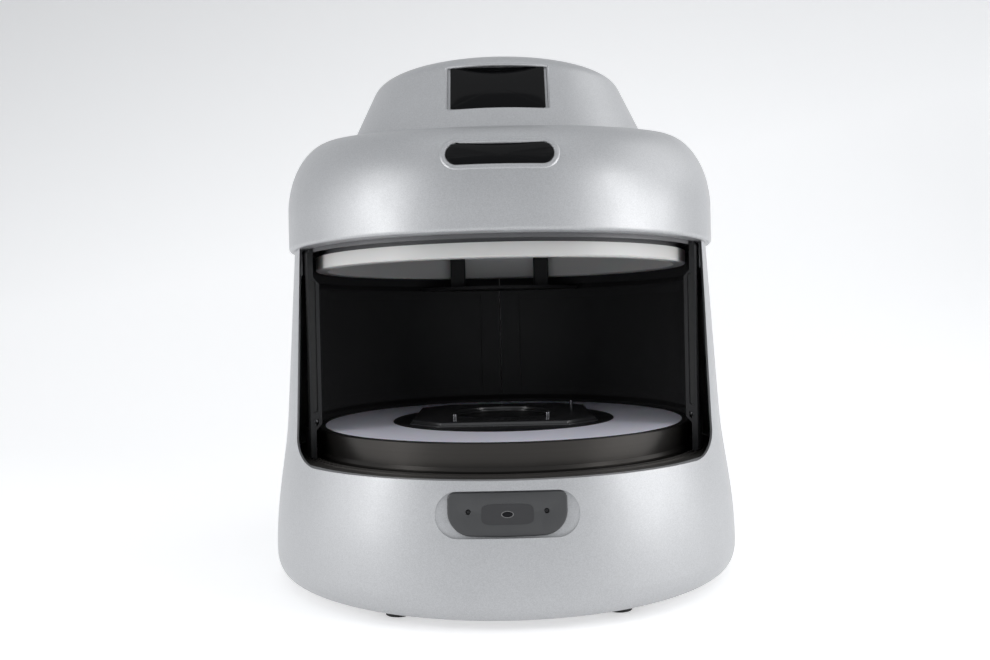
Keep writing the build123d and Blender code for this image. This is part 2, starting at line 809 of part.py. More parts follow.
# ---- sliding doors: half shells with a pressed panel, stepped foot and head, and a front post
door_arc = 180 - door_front_angle - door_seam_angle
door_plane = Plane.XZ.rotated((0, 0, door_front_angle - 90))
panel_rear_angle = degrees(panel_rear_gap / door_radius)
panel_plane = Plane.XZ.rotated((0, 0, 90 - panel_rear_angle - panel_arc))
foot_step_z = door_bottom_z + door_foot_height
head_step_z = door_top_z - door_head_height
panel_low_z = foot_step_z + door_step_height + panel_margin
panel_high_z = head_step_z - door_step_height - panel_margin
step_radius = door_radius + door_step
post_bottom_z = track_z + track_rib_height + door_run
post_top_z = canopy_z - upper_track_drop - track_clearance
post_step_z = door_bottom_z + post_foot_height
post_screw_z = post_step_z
groove_low_z = post_screw_z + post_groove_margin
groove_high_z = head_step_z - door_step_height / 2
groove_place = (door_radius + post_radius) / 2 + door_wall / 4


def panel_profile(radius):
    """A shallow trapezoid standing out from radius, for the door's pressed panel."""
    Polyline(
        (radius, panel_low_z),
        (radius + panel_depth, panel_low_z + panel_slope),
        (radius + panel_depth, panel_high_z - panel_slope),
        (radius, panel_high_z),
        close=True,
    )


with BuildPart() as right_door:
    with BuildSketch(door_plane):
        with BuildLine():
            Polyline(
                (step_radius, door_bottom_z),
                (step_radius, foot_step_z),
                (door_radius, foot_step_z + door_step_height),
                (door_radius, head_step_z - door_step_height),
                (step_radius, head_step_z),
                (step_radius, door_top_z),
                (step_radius + door_wall, door_top_z),
                (step_radius + door_wall, head_step_z),
                (door_radius + door_wall, head_step_z - door_step_height),
                (door_radius + door_wall, foot_step_z + door_step_height),
                (step_radius + door_wall, foot_step_z),
                (step_radius + door_wall, door_bottom_z),
                close=True,
            )
        make_face()
    revolve(revolution_arc=door_arc)
    with BuildSketch(panel_plane):
        with BuildLine():
            panel_profile(door_radius + door_wall)
        make_face()
    revolve(revolution_arc=panel_arc)
    with BuildSketch(panel_plane):
        with BuildLine():
            panel_profile(door_radius)
        make_face()
    revolve(revolution_arc=panel_arc, mode=Mode.SUBTRACT)
    with BuildSketch(door_plane):
        with BuildLine():
            Polyline(
                (step_radius, post_bottom_z),
                (step_radius, post_step_z),
                (door_radius, post_step_z + door_step_height),
                (door_radius, head_step_z - door_step_height),
                (step_radius, head_step_z),
                (step_radius, post_top_z),
                (post_radius, post_top_z),
                (post_radius, post_bottom_z),
                close=True,
            )
        make_face()
    revolve(revolution_arc=post_angle)
    with BuildSketch(door_plane):
        with Locations((groove_place, (groove_low_z + groove_high_z) / 2)):
            SlotOverall(groove_high_z - groove_low_z, post_groove_width, rotation=90)
    extrude(amount=-post_groove_depth, mode=Mode.SUBTRACT)
    with BuildSketch(door_plane):
        with Locations((groove_place, post_screw_z)):
            Circle(door_screw_radius + stud_clearance)
    extrude(amount=-post_groove_depth, mode=Mode.SUBTRACT)
save(right_door, "right_door")

with BuildPart() as left_door:
    add(mirror(right_door.part, about=Plane.YZ, mode=Mode.PRIVATE))
save(left_door, "left_door")

with BuildPart() as right_door_seal:
    with BuildSketch(door_plane.offset(-post_groove_depth)):
        with Locations((groove_place, (groove_low_z + groove_high_z) / 2)):
            SlotOverall(
                groove_high_z - groove_low_z - 2 * seal_clearance,
                post_groove_width - 2 * seal_clearance,
                rotation=90,
            )
    extrude(amount=post_groove_depth / 2)
save(right_door_seal, "right_door_seal")

with BuildPart() as left_door_seal:
    add(mirror(right_door_seal.part, about=Plane.YZ, mode=Mode.PRIVATE))
save(left_door_seal, "left_door_seal")

with BuildPart() as right_door_screw:
    with BuildSketch(door_plane.offset(-post_groove_depth)):
        with Locations((groove_place, post_screw_z)):
            Circle(door_screw_radius)
    extrude(amount=post_groove_depth)
    fillet(right_door_screw.edges().filter_by(GeomType.CIRCLE).group_by(Axis.Y)[0], door_screw_radius / 3)
save(right_door_screw, "right_door_screw")

with BuildPart() as left_door_screw:
    add(mirror(right_door_screw.part, about=Plane.YZ, mode=Mode.PRIVATE))
save(left_door_screw, "left_door_screw")

# glides: pads under the door's foot that run on the lower track
with BuildPart() as right_door_glides:
    for index in range(glide_count):
        start = door_front_angle - 90 + glide_arc + index * (door_arc - 3 * glide_arc) / (glide_count - 1)
        with BuildSketch(Plane.XZ.rotated((0, 0, start))):
            ring_section(step_radius, step_radius + door_wall, track_z, door_bottom_z)
        revolve(revolution_arc=glide_arc)
save(right_door_glides, "right_door_glides")

with BuildPart() as left_door_glides:
    add(mirror(right_door_glides.part, about=Plane.YZ, mode=Mode.PRIVATE))
save(left_door_glides, "left_door_glides")

with BuildPart() as lower_track:
    with BuildSketch(Plane.XZ):
        ring_section(deck_hole_radius, rim_radius - rim_width - seat_clearance, deck_z, track_z)
        rib_radius = step_radius - track_clearance
        ring_section(rib_radius - track_rib, rib_radius, track_z, track_z + track_rib_height)
        rib_radius = step_radius + door_wall + track_clearance
        ring_section(rib_radius, rib_radius + track_rib, track_z, track_z + track_rib_height)
    revolve()
save(lower_track, "lower_track")

# ---- stage drum with its diffuser, centre column and lamp board
band_top_z = stage_z - drum_band_drop
column_foot_z = drum_floor_z + drum_floor
flange_z = seat_z - diffuser_thickness
side_screw_z = band_top_z + drum_screw_rise
rim_screw_place = drum_radius - drum_rim / 2

with BuildPart() as stage_drum:
    with BuildSketch(Plane.XZ):
        with BuildLine():
            Polyline(
                (0, drum_floor_z),
                (drum_band_radius, drum_floor_z),
                (drum_band_radius, band_top_z - drum_band_taper),
                (drum_radius, band_top_z),
                (drum_radius, stage_z),
                (drum_radius - drum_rim, stage_z),
                (drum_radius - drum_rim, seat_z),
                (drum_radius - drum_rim - ledge_width, seat_z),
                (drum_radius - drum_rim - ledge_width, seat_z - drum_wall),
                (drum_radius - drum_wall, seat_z - drum_wall - ledge_width),
                (drum_radius - drum_wall, column_foot_z),
                (0, column_foot_z),
                close=True,
            )
        make_face()
    revolve()
    rim_edges = stage_drum.edges().filter_by(GeomType.CIRCLE).group_by(Axis.Z)[-1]
    chamfer(rim_edges.sort_by(SortBy.RADIUS)[-1], edge_rounding / 2)
    with BuildSketch(Plane.XY.offset(drum_floor_z)):
        with PolarLocations(pillar_place, 4, 45):
            Circle(pillar_stud_radius + stud_clearance)
        Circle(column_tube_radius - column_tube_wall - pillar_radius)
    extrude(amount=drum_floor, mode=Mode.SUBTRACT)
    for angle in (180 + drum_screw_angle, -drum_screw_angle):
        with BuildSketch(Plane.YZ.rotated((0, 0, angle)).offset(drum_radius - drum_wall)):
            with Locations((0, side_screw_z)):
                Circle(drum_screw_radius + stud_clearance)
        extrude(amount=drum_wall, mode=Mode.SUBTRACT)
    with BuildSketch(Plane.XY.offset(seat_z)):
        with PolarLocations(rim_screw_place, 1, rim_screw_angle):
            Circle(drum_screw_radius + stud_clearance)
    extrude(amount=diffuser_thickness, mode=Mode.SUBTRACT)
save(stage_drum, "stage_drum")

with BuildPart() as drum_screws:
    for angle in (180 + drum_screw_angle, -drum_screw_angle):
        with BuildSketch(Plane.YZ.rotated((0, 0, angle)).offset(drum_radius - drum_wall)):
            with Locations((0, side_screw_z)):
                Circle(drum_screw_radius)
        extrude(amount=drum_wall + drum_screw_proud)
    with BuildSketch(Plane.XY.offset(seat_z)):
        with PolarLocations(rim_screw_place, 1, rim_screw_angle):
            Circle(drum_screw_radius)
    extrude(amount=diffuser_thickness + drum_screw_proud)
save(drum_screws, "drum_screws")

with BuildPart() as drum_pillars:
    with BuildSketch(Plane.XY.offset(plate_top_z)):
        with PolarLocations(pillar_place, 4, 45):
            Circle(pillar_radius)
    extrude(amount=drum_floor_z - plate_top_z)
    with BuildSketch(Plane.XY.offset(drum_floor_z)):
        with PolarLocations(pillar_place, 4, 45):
            Circle(pillar_stud_radius)
    extrude(amount=pillar_stud_height)
save(drum_pillars, "drum_pillars")

with BuildPart() as stage_column:
    with BuildSketch(Plane.XZ):
        ring_section(column_tube_radius - column_tube_wall, column_tube_radius, column_foot_z, flange_z)
        ring_section(column_tube_radius - column_tube_wall, insert_radius + insert_seat_width, flange_z, seat_z)
    revolve()
save(stage_column, "stage_column")

with BuildPart() as stage_diffuser:
    with BuildSketch(Plane.XY.offset(seat_z)):
        Circle(drum_radius - drum_rim - diffuser_clearance)
        Circle(insert_radius + diffuser_clearance, mode=Mode.SUBTRACT)
    extrude(amount=diffuser_thickness)
save(stage_diffuser, "stage_diffuser")

with BuildPart() as lamp_board:
    with BuildSketch(Plane.XY.offset(column_foot_z + lamp_board_rise)):
        Circle(lamp_board_radius)
        Circle(column_tube_radius + seat_clearance, mode=Mode.SUBTRACT)
        with PolarLocations(pillar_place, 4, 45):
            Circle(pillar_stud_radius + stud_clearance, mode=Mode.SUBTRACT)
    extrude(amount=circuit_wall)
save(lamp_board, "lamp_board")

with BuildPart() as lamp_spacers:
    with BuildSketch(Plane.XY.offset(column_foot_z)):
        with PolarLocations(pillar_place, 4, 45):
            Circle(pillar_radius)
            Circle(pillar_stud_radius + stud_clearance, mode=Mode.SUBTRACT)
    extrude(amount=lamp_board_rise)
save(lamp_spacers, "lamp_spacers")

with BuildPart() as lamp_leds:
    with BuildSketch(Plane.XY.offset(column_foot_z + lamp_board_rise + circuit_wall)):
        for radius in lamp_led_rings:
            with PolarLocations(radius, lamp_led_count):
                Rectangle(led_size, led_size)
    extrude(amount=led_height)
save(lamp_leds, "lamp_leds")

# ---- stage insert and dish adapter, which lift off
with BuildPart() as stage_insert:
    with BuildSketch(Plane.XY.offset(seat_z)):
        Circle(insert_radius)
    extrude(amount=insert_thickness)
    chamfer(stage_insert.faces().sort_by(Axis.Z)[-1].edges(), edge_rounding / 2)
save(stage_insert, "stage_insert")

adapter_top_z = insert_top_z + adapter_base + adapter_top

with BuildPart() as dish_adapter:
    with BuildSketch(Plane.XY.offset(insert_top_z)) as adapter_outline:
        with Locations((0, adapter_offset)):
            Rectangle(adapter_width, adapter_width)
        chamfer(adapter_outline.vertices(), adapter_corner)
    extrude(amount=adapter_base)
    with BuildSketch(Plane.XY.offset(insert_top_z + adapter_base)) as step_outline:
        with Locations((0, adapter_offset)):
            Rectangle(adapter_width - 2 * adapter_step, adapter_width - 2 * adapter_step)
        chamfer(step_outline.vertices(), adapter_corner)
    extrude(amount=adapter_top)
    chamfer(dish_adapter.faces().sort_by(Axis.Z)[-1].edges(), adapter_step / 4)
    with BuildSketch(Plane.XY.offset(adapter_top_z)):
        with Locations((0, adapter_offset)):
            Circle(dish_radius)
    extrude(amount=-dish_depth, mode=Mode.SUBTRACT)
    with BuildSketch(Plane.XY.offset(insert_top_z)):
        with Locations((0, adapter_offset)):
            Circle(dish_radius - dish_ledge)
        with Locations(*pin_places):
            Circle(pin_radius + stud_clearance)
    extrude(amount=adapter_base + adapter_top, mode=Mode.SUBTRACT)
save(dish_adapter, "dish_adapter")

with BuildPart() as locating_pins:
    with BuildSketch(Plane.XY.offset(insert_top_z)):
        with Locations(*pin_places):
            Circle(pin_radius)
    extrude(amount=adapter_base + adapter_top + pin_height)
    fillet(locating_pins.edges().group_by(Axis.Z)[-1], 0.9 * pin_radius)
save(locating_pins, "locating_pins")

# ---- camera on its deck over the chamber
with BuildPart() as camera_deck:
    with BuildSketch(Plane.XY.offset(camera_deck_z)):
        Circle(camera_deck_radius)
        with PolarLocations(0, 2, 45):
            SlotOverall(2 * camera_arm_radius, camera_arm_width)
        with PolarLocations(camera_arm_place, 4, 45):
            Circle(deck_pillar_bore + stud_clearance, mode=Mode.SUBTRACT)
        Circle(camera_nose_radius + seat_clearance, mode=Mode.SUBTRACT)
    extrude(amount=camera_deck_thickness)
save(camera_deck, "camera_deck")

with BuildPart() as deck_pillars:
    with BuildSketch(Plane.XY.offset(ceiling_top_z)):
        with PolarLocations(camera_arm_place, 4, 45):
            Circle(deck_pillar_radius)
    extrude(amount=camera_deck_rise)
    with BuildSketch(Plane.XY.offset(camera_deck_z)):
        with PolarLocations(camera_arm_place, 4, 45):
            Circle(deck_pillar_bore)
    extrude(amount=camera_deck_thickness)
save(deck_pillars, "deck_pillars")

with BuildPart() as camera_body:
    with BuildSketch(Plane.XY.offset(camera_deck_top_z)):
        RectangleRounded(camera_width, camera_width, lens_collar)
    extrude(amount=camera_height)
    with BuildSketch(Plane.XY.offset(camera_deck_top_z + camera_height)):
        with GridLocations(0, camera_width / camera_fin_count, 1, camera_fin_count):
            Rectangle(camera_width - 2 * lens_collar, camera_fin_width)
    extrude(amount=camera_fin_height)
    with BuildSketch(Plane.XY.offset(camera_deck_z)):
        Circle(camera_nose_radius)
    extrude(amount=camera_deck_thickness)
save(camera_body, "camera_body")

barrel_end_z = camera_deck_z - lens_barrel_length
focus_z = camera_deck_z - 2 * lens_collar - focus_ring_height
iris_z = focus_z - lens_collar - iris_ring_height

with BuildPart() as lens_barrel:
    with BuildSketch(Plane.XZ):
        ring_section(lens_glass_radius + seat_clearance, lens_barrel_radius, barrel_end_z, camera_deck_z)
        ring_section(lens_barrel_radius, lens_collar_radius, camera_deck_z - 2 * lens_collar, camera_deck_z)
        ring_section(lens_barrel_radius, lens_collar_radius, focus_z - lens_collar, focus_z)
        ring_section(lens_barrel_radius, lens_collar_radius, iris_z - lens_collar, iris_z)
    revolve()
    with BuildSketch(Plane.XZ):
        glass_seat_z = barrel_end_z + lens_glass_thickness + lens_collar
        ring_section(0, lens_glass_radius + seat_clearance, glass_seat_z, camera_deck_z)
    revolve()
save(lens_barrel, "lens_barrel")


def knurled_ring(radius, low_z, height):
    """A grip ring round the lens barrel with round flutes, between two collars."""
    with BuildPart() as grip:
        with BuildSketch(Plane.XY.offset(low_z + ring_end_clearance)):
            Circle(radius)
            Circle(lens_barrel_radius + ring_running_clearance, mode=Mode.SUBTRACT)
            with PolarLocations(radius, ring_knurl_count):
                Circle(ring_knurl_radius, mode=Mode.SUBTRACT)
        extrude(amount=height - 2 * ring_end_clearance)
    return grip


focus_ring = knurled_ring(focus_ring_radius, focus_z, focus_ring_height)
save(focus_ring, "focus_ring")
iris_ring = knurled_ring(iris_ring_radius, iris_z, iris_ring_height)
save(iris_ring, "iris_ring")

with BuildPart() as lens_glass:
    with BuildSketch(Plane.XZ):
        with BuildLine():
            glass_top_z = barrel_end_z + lens_glass_thickness + lens_collar
            bulge = ThreePointArc(
                (0, barrel_end_z + lens_glass_thickness / 4),
                (lens_glass_radius / 2, barrel_end_z + lens_glass_thickness / 2),
                (lens_glass_radius, barrel_end_z + lens_glass_thickness),
            )
            Polyline(bulge @ 1, (lens_glass_radius, glass_top_z), (0, glass_top_z), bulge @ 0)
        make_face()
    revolve()
save(lens_glass, "lens_glass")

# ---- base plate, feet and electronics
with BuildPart() as base_plate:
    with BuildSketch(Plane.XY.offset(base_bottom)):
        Circle(base_plate_radius)
        with PolarLocations(base_plate_radius - base_ledge_width / 2, base_screw_count, base_screw_start):
            Circle(screw_radius + stud_clearance, mode=Mode.SUBTRACT)
        with foot_places():
            Circle(foot_screw_radius + stud_clearance, mode=Mode.SUBTRACT)
        with GridLocations(vent_slot_pitch, 0, vent_slot_count, 1):
            SlotOverall(vent_slot_length, vent_slot_width, rotation=90, mode=Mode.SUBTRACT)
    extrude(amount=base_plate_thickness)
save(base_plate, "base_plate")

with BuildPart() as plate_fasteners:
    with BuildSketch(Plane.XY.offset(base_bottom)):
        with PolarLocations(base_plate_radius - base_ledge_width / 2, base_screw_count, base_screw_start):
            Circle(screw_radius)
    extrude(amount=base_plate_thickness + housing_wall)
    with BuildSketch(Plane.XY.offset(base_bottom)):
        with PolarLocations(base_plate_radius - base_ledge_width / 2, base_screw_count, base_screw_start):
            Circle(screw_head_radius)
    extrude(amount=-screw_head_height)
save(plate_fasteners, "plate_fasteners")

with BuildPart() as feet:
    with BuildSketch(Plane.XY.offset(foot_height)):
        with foot_places():
            Circle(foot_radius)
    extrude(amount=-foot_height, taper=foot_draft)
    with BuildSketch(Plane.XY):
        with foot_places():
            Circle(foot_screw_radius + stud_clearance)
    extrude(amount=foot_height, mode=Mode.SUBTRACT)
    with BuildSketch(Plane.XY):
        with foot_places():
            Circle(foot_screw_head + stud_clearance)
    extrude(amount=foot_screw_recess, mode=Mode.SUBTRACT)
save(feet, "feet")

with BuildPart() as foot_screws:
    with BuildSketch(Plane.XY.offset(foot_screw_recess)):
        with foot_places():
            Circle(foot_screw_head)
    extrude(amount=-screw_head_height)
    with BuildSketch(Plane.XY.offset(foot_screw_recess)):
        with foot_places():
            Circle(foot_screw_radius)
    extrude(amount=plate_top_z + screw_head_height - foot_screw_recess)
save(foot_screws, "foot_screws")

with BuildPart() as power_supply:
    with BuildSketch(Plane.XY.offset(plate_top_z)):
        with Locations(supply_place):
            Rectangle(supply_width, supply_depth)
    extrude(amount=supply_height)
    chamfer(power_supply.edges().group_by(Axis.Z)[-1], edge_rounding)
save(power_supply, "power_supply")

with BuildPart() as board_standoffs:
    with BuildSketch(Plane.XY.offset(plate_top_z)):
        with Locations(circuit_place):
            with GridLocations(circuit_width - 4 * standoff_radius, circuit_depth - 4 * standoff_radius, 2, 2):
                Circle(standoff_radius)
    extrude(amount=circuit_rise)
save(board_standoffs, "board_standoffs")

circuit_z = plate_top_z + circuit_rise

with BuildPart() as control_board:
    with BuildSketch(Plane.XY.offset(circuit_z)):
        with Locations(circuit_place):
            RectangleRounded(circuit_width, circuit_depth, badge_corner)
    extrude(amount=circuit_wall)
save(control_board, "control_board")

with BuildPart() as board_chips:
    with BuildSketch(Plane.XY.offset(circuit_z + circuit_wall)):
        with Locations(circuit_place):
            with GridLocations(circuit_width / 4, circuit_depth / 3, 4, 3):
                Rectangle(circuit_width / 8, circuit_depth / 6)
    extrude(amount=2 * circuit_wall)
save(board_chips, "board_chips")

# ---- rear panel with its inlet, switch and data socket
panel_plane_in = Plane.XZ.offset(-panel_flat)
panel_back = panel_flat - housing_wall
panel_face = panel_flat + panel_wall

with BuildPart() as rear_panel:
    with BuildSketch(panel_plane_in):
        with Locations((0, panel_z)):
            RectangleRounded(panel_width, panel_height, badge_corner)
            with GridLocations(
                panel_width - 2 * panel_screw_inset, panel_height - 2 * panel_screw_inset, 2, 2
            ):
                Circle(screw_radius + stud_clearance, mode=Mode.SUBTRACT)
        with Locations((inlet_place, panel_z)):
            Rectangle(inlet_width + stud_clearance, inlet_height + stud_clearance, mode=Mode.SUBTRACT)
        with Locations((switch_place, panel_z)):
            Rectangle(switch_width + stud_clearance, switch_height + stud_clearance, mode=Mode.SUBTRACT)
        with Locations((usb_place, panel_z)):
            Rectangle(usb_width + stud_clearance, usb_height + stud_clearance, mode=Mode.SUBTRACT)
    extrude(amount=-panel_wall)
save(rear_panel, "rear_panel")

with BuildPart() as panel_screws:
    with BuildSketch(panel_plane_in.offset(-panel_wall)):
        with Locations((0, panel_z)):
            with GridLocations(
                panel_width - 2 * panel_screw_inset, panel_height - 2 * panel_screw_inset, 2, 2
            ):
                Circle(screw_head_radius)
    extrude(amount=-screw_head_height)
    with BuildSketch(panel_plane_in):
        with Locations((0, panel_z)):
            with GridLocations(
                panel_width - 2 * panel_screw_inset, panel_height - 2 * panel_screw_inset, 2, 2
            ):
                Circle(screw_radius)
    extrude(amount=-panel_wall)
save(panel_screws, "panel_screws")

with BuildPart() as power_inlet:
    with BuildSketch(panel_plane_in.offset(-panel_wall)):
        with Locations((inlet_place, panel_z)):
            Rectangle(inlet_width + 2 * inlet_flange, inlet_height + 2 * inlet_flange)
    extrude(amount=-inlet_wall)
    with BuildSketch(panel_plane_in.offset(-panel_wall)):
        with Locations((inlet_place, panel_z)):
            Rectangle(inlet_width, inlet_height)
    extrude(amount=inlet_depth)
    with BuildSketch(panel_plane_in.offset(-panel_wall - inlet_wall)) as socket_mouth:
        with Locations((inlet_place, panel_z)):
            Rectangle(inlet_width - 2 * inlet_wall, inlet_height - 2 * inlet_wall)
        chamfer(socket_mouth.vertices().group_by(Axis.Y)[-1], inlet_pin_height)
    extrude(amount=inlet_depth - inlet_wall, mode=Mode.SUBTRACT)
save(power_inlet, "power_inlet")

with BuildPart() as inlet_pins:
    with BuildSketch(panel_plane_in.offset(inlet_depth - panel_wall - 2 * inlet_wall)):
        with Locations((inlet_place, panel_z)):
            with GridLocations(2 * inlet_pin_spacing, 0, 2, 1):
                Rectangle(inlet_pin_width, inlet_pin_height)
        with Locations((inlet_place, panel_z + inlet_pin_height / 2)):
            Rectangle(inlet_pin_width, inlet_pin_height)
    extrude(amount=-inlet_pin_length)
save(inlet_pins, "inlet_pins")

with BuildPart() as switch_frame:
    with BuildSketch(panel_plane_in.offset(-panel_wall)):
        with Locations((switch_place, panel_z)):
            Rectangle(switch_width + 2 * switch_flange, switch_height + 2 * switch_flange)
    extrude(amount=-switch_flange)
    with BuildSketch(panel_plane_in.offset(-panel_wall)):
        with Locations((switch_place, panel_z)):
            Rectangle(switch_width, switch_height)
    extrude(amount=switch_depth)
    with BuildSketch(panel_plane_in.offset(-panel_wall - switch_flange)):
        with Locations((switch_place, panel_z)):
            Rectangle(switch_width - 2 * switch_wall, switch_height - 2 * switch_wall)
    extrude(amount=switch_depth - switch_wall, mode=Mode.SUBTRACT)
    with BuildSketch(Plane.YZ.offset(switch_place)):
        with Locations((panel_face - rocker_pivot_depth, panel_z)):
            Circle(rocker_pivot_radius + ring_running_clearance)
    extrude(amount=switch_width / 2, both=True, mode=Mode.SUBTRACT)
save(switch_frame, "switch_frame")

rocker_half = switch_height / 2 - switch_wall - seat_clearance
rocker_width = switch_width - 2 * switch_wall - 2 * seat_clearance
rocker_tilt = radians(rocker_throw / 2)
rocker_plane = Plane(
    origin=(switch_place, panel_face - rocker_pivot_depth, panel_z),
    x_dir=(0, cos(rocker_tilt), sin(rocker_tilt)),
    z_dir=(1, 0, 0),
)

with BuildPart() as switch_rocker:
    with BuildSketch(rocker_plane):
        with BuildLine():
            Polyline(
                (-rocker_depth, 0),
                (0, -rocker_half),
                (rocker_proud, rocker_bevel - rocker_half),
                (rocker_proud - rocker_bevel, 0),
                (rocker_proud, rocker_half - rocker_bevel),
                (0, rocker_half),
                close=True,
            )
        make_face()
    extrude(amount=rocker_width / 2, both=True)
    with BuildSketch(rocker_plane):
        Circle(rocker_pivot_radius)
    extrude(amount=switch_width / 2 - switch_wall + rocker_pivot_length, both=True)
save(switch_rocker, "switch_rocker")

with BuildPart() as usb_socket:
    with BuildSketch(panel_plane_in.offset(-panel_wall)):
        with Locations((usb_place, panel_z)):
            Rectangle(usb_width, usb_height)
    extrude(amount=usb_depth)
    with BuildSketch(panel_plane_in.offset(-panel_wall)):
        with Locations((usb_place, panel_z)):
            Rectangle(usb_width - 2 * usb_wall, usb_height - 2 * usb_wall)
    extrude(amount=usb_depth - usb_wall, mode=Mode.SUBTRACT)
    with BuildSketch(panel_plane_in.offset(usb_tongue_inset - panel_wall)):
        with Locations((usb_place, panel_z)):
            Rectangle(usb_width / 2, usb_tongue)
    extrude(amount=usb_depth - usb_wall - usb_tongue_inset)
save(usb_socket, "usb_socket")
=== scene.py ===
import bpy
import bmesh
from math import cos, pi, radians, sin
from mathutils import Matrix, Vector
from mathutils.bvhtree import BVHTree


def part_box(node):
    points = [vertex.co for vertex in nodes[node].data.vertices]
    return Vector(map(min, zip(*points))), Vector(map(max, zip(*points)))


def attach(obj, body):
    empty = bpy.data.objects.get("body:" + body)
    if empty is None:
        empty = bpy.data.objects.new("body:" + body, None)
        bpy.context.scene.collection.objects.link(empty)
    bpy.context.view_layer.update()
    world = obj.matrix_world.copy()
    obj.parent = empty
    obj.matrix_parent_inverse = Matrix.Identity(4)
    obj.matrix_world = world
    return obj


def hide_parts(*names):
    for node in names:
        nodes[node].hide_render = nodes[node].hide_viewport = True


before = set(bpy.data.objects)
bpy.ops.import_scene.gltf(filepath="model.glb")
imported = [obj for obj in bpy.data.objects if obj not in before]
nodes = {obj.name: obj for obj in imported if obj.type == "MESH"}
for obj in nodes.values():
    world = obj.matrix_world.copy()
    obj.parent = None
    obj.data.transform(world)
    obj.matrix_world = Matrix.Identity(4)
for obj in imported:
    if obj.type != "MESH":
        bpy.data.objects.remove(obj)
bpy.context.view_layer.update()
print("frame loaded,", len(nodes), "nodes")

# small helpers for building materials


def startMaterial(name):
    material = bpy.data.materials.new(name)
    material.use_nodes = True
    tree = material.node_tree
    return material, tree, tree.nodes["Principled BSDF"]


def addNode(tree, kind, **settings):
    node = tree.nodes.new(kind)
    for key, value in settings.items():
        setattr(node, key, value)
    return node


def objectPoint(tree):
    return addNode(tree, "ShaderNodeTexCoord").outputs["Object"]


def noiseField(tree, point, scale, detail=2.0, roughness=0.5):
    noise = addNode(tree, "ShaderNodeTexNoise")
    noise.inputs["Scale"].default_value = scale
    noise.inputs["Detail"].default_value = detail
    noise.inputs["Roughness"].default_value = roughness
    tree.links.new(point, noise.inputs["Vector"])
    return noise.outputs["Fac"]


def cellField(tree, point, scale, feature="F1", output="Color"):
    cells = addNode(tree, "ShaderNodeTexVoronoi", feature=feature)
    cells.inputs["Scale"].default_value = scale
    tree.links.new(point, cells.inputs["Vector"])
    return cells.outputs[output]


def spread(tree, value, low, high, fromLow=0.3, fromHigh=0.7):
    ranged = addNode(tree, "ShaderNodeMapRange")
    ranged.inputs["From Min"].default_value = fromLow
    ranged.inputs["From Max"].default_value = fromHigh
    ranged.inputs["To Min"].default_value = low
    ranged.inputs["To Max"].default_value = high
    tree.links.new(value, ranged.inputs["Value"])
    return ranged.outputs["Result"]


def blendColours(tree, factor, first, second):
    mix = addNode(tree, "ShaderNodeMix", data_type="RGBA")
    tree.links.new(factor, mix.inputs["Factor"])
    mix.inputs["A"].default_value = (*first, 1.0)
    mix.inputs["B"].default_value = (*second, 1.0)
    return mix.outputs["Result"]


def multiplyColours(tree, first, second):
    mix = addNode(tree, "ShaderNodeMix", data_type="RGBA", blend_type="MULTIPLY")
    mix.inputs["Factor"].default_value = 1.0
    tree.links.new(first, mix.inputs["A"])
    tree.links.new(second, mix.inputs["B"])
    return mix.outputs["Result"]


def addBump(tree, shader, height, distance, strength):
    bump = addNode(tree, "ShaderNodeBump")
    bump.inputs["Strength"].default_value = strength
    bump.inputs["Distance"].default_value = distance
    tree.links.new(height, bump.inputs["Height"])
    tree.links.new(bump.outputs["Normal"], shader.inputs["Normal"])


def setShader(shader, **values):
    for key, value in values.items():
        shader.inputs[key.replace("_", " ")].default_value = value


def shade(factor, colour):
    return tuple(min(1.0, factor * c) for c in colour)


def paintBetween(tree, shader, factor, first, second):
    tree.links.new(blendColours(tree, factor, first, second), shader.inputs["Base Color"])


def tintSurface(tree, shader, factor, colour, below, above):
    # the colour wanders from a little darker to a little lighter
    paintBetween(tree, shader, factor, shade(1 - below, colour), shade(1 + above, colour))


def varyGloss(tree, shader, factor, roughness, below, above):
    tree.links.new(spread(tree, factor, roughness - below, roughness + above), shader.inputs["Roughness"])


def mathNode(tree, operation, first, second):
    # each side is a number or another node's output
    node = addNode(tree, "ShaderNodeMath", operation=operation)
    for socket, value in zip(node.inputs, (first, second)):
        if isinstance(value, (int, float)):
            socket.default_value = value
        else:
            tree.links.new(value, socket)
    return node.outputs["Value"]


# silver paint: fine flakes in a satin lacquer, with a slight leathery ripple
silverPaint = {
    "colour": (0.50, 0.505, 0.515),
    "flakeSize": 0.0005,
    "flakeContrast": 0.08,
    "rippleSize": 0.0016,
    "rippleDepth": 0.00002,
    "rippleStrength": 0.6,
    "metallic": 0.48,
    "roughness": 0.43,
    "cloudScale": 45.0,
    "gloss": (0.03, 0.04),
    "coat": 0.12,
    "coatRoughness": 0.35,
}


def silverPaintMaterial(values):
    material, tree, shader = startMaterial("silverPaint")
    point = objectPoint(tree)
    flakes = cellField(tree, point, 1 / values["flakeSize"])
    grey = addNode(tree, "ShaderNodeSeparateColor")
    tree.links.new(flakes, grey.inputs["Color"])
    contrast = values["flakeContrast"]
    tintSurface(tree, shader, grey.outputs["Red"], values["colour"], contrast, contrast)
    cloud = noiseField(tree, point, values["cloudScale"], detail=3.0)
    varyGloss(tree, shader, cloud, values["roughness"], *values["gloss"])
    ripple = noiseField(tree, point, 1 / values["rippleSize"])
    addBump(tree, shader, ripple, values["rippleDepth"], values["rippleStrength"])
    setShader(shader, Metallic=values["metallic"], Coat_Weight=values["coat"],
              Coat_Roughness=values["coatRoughness"])
    return material


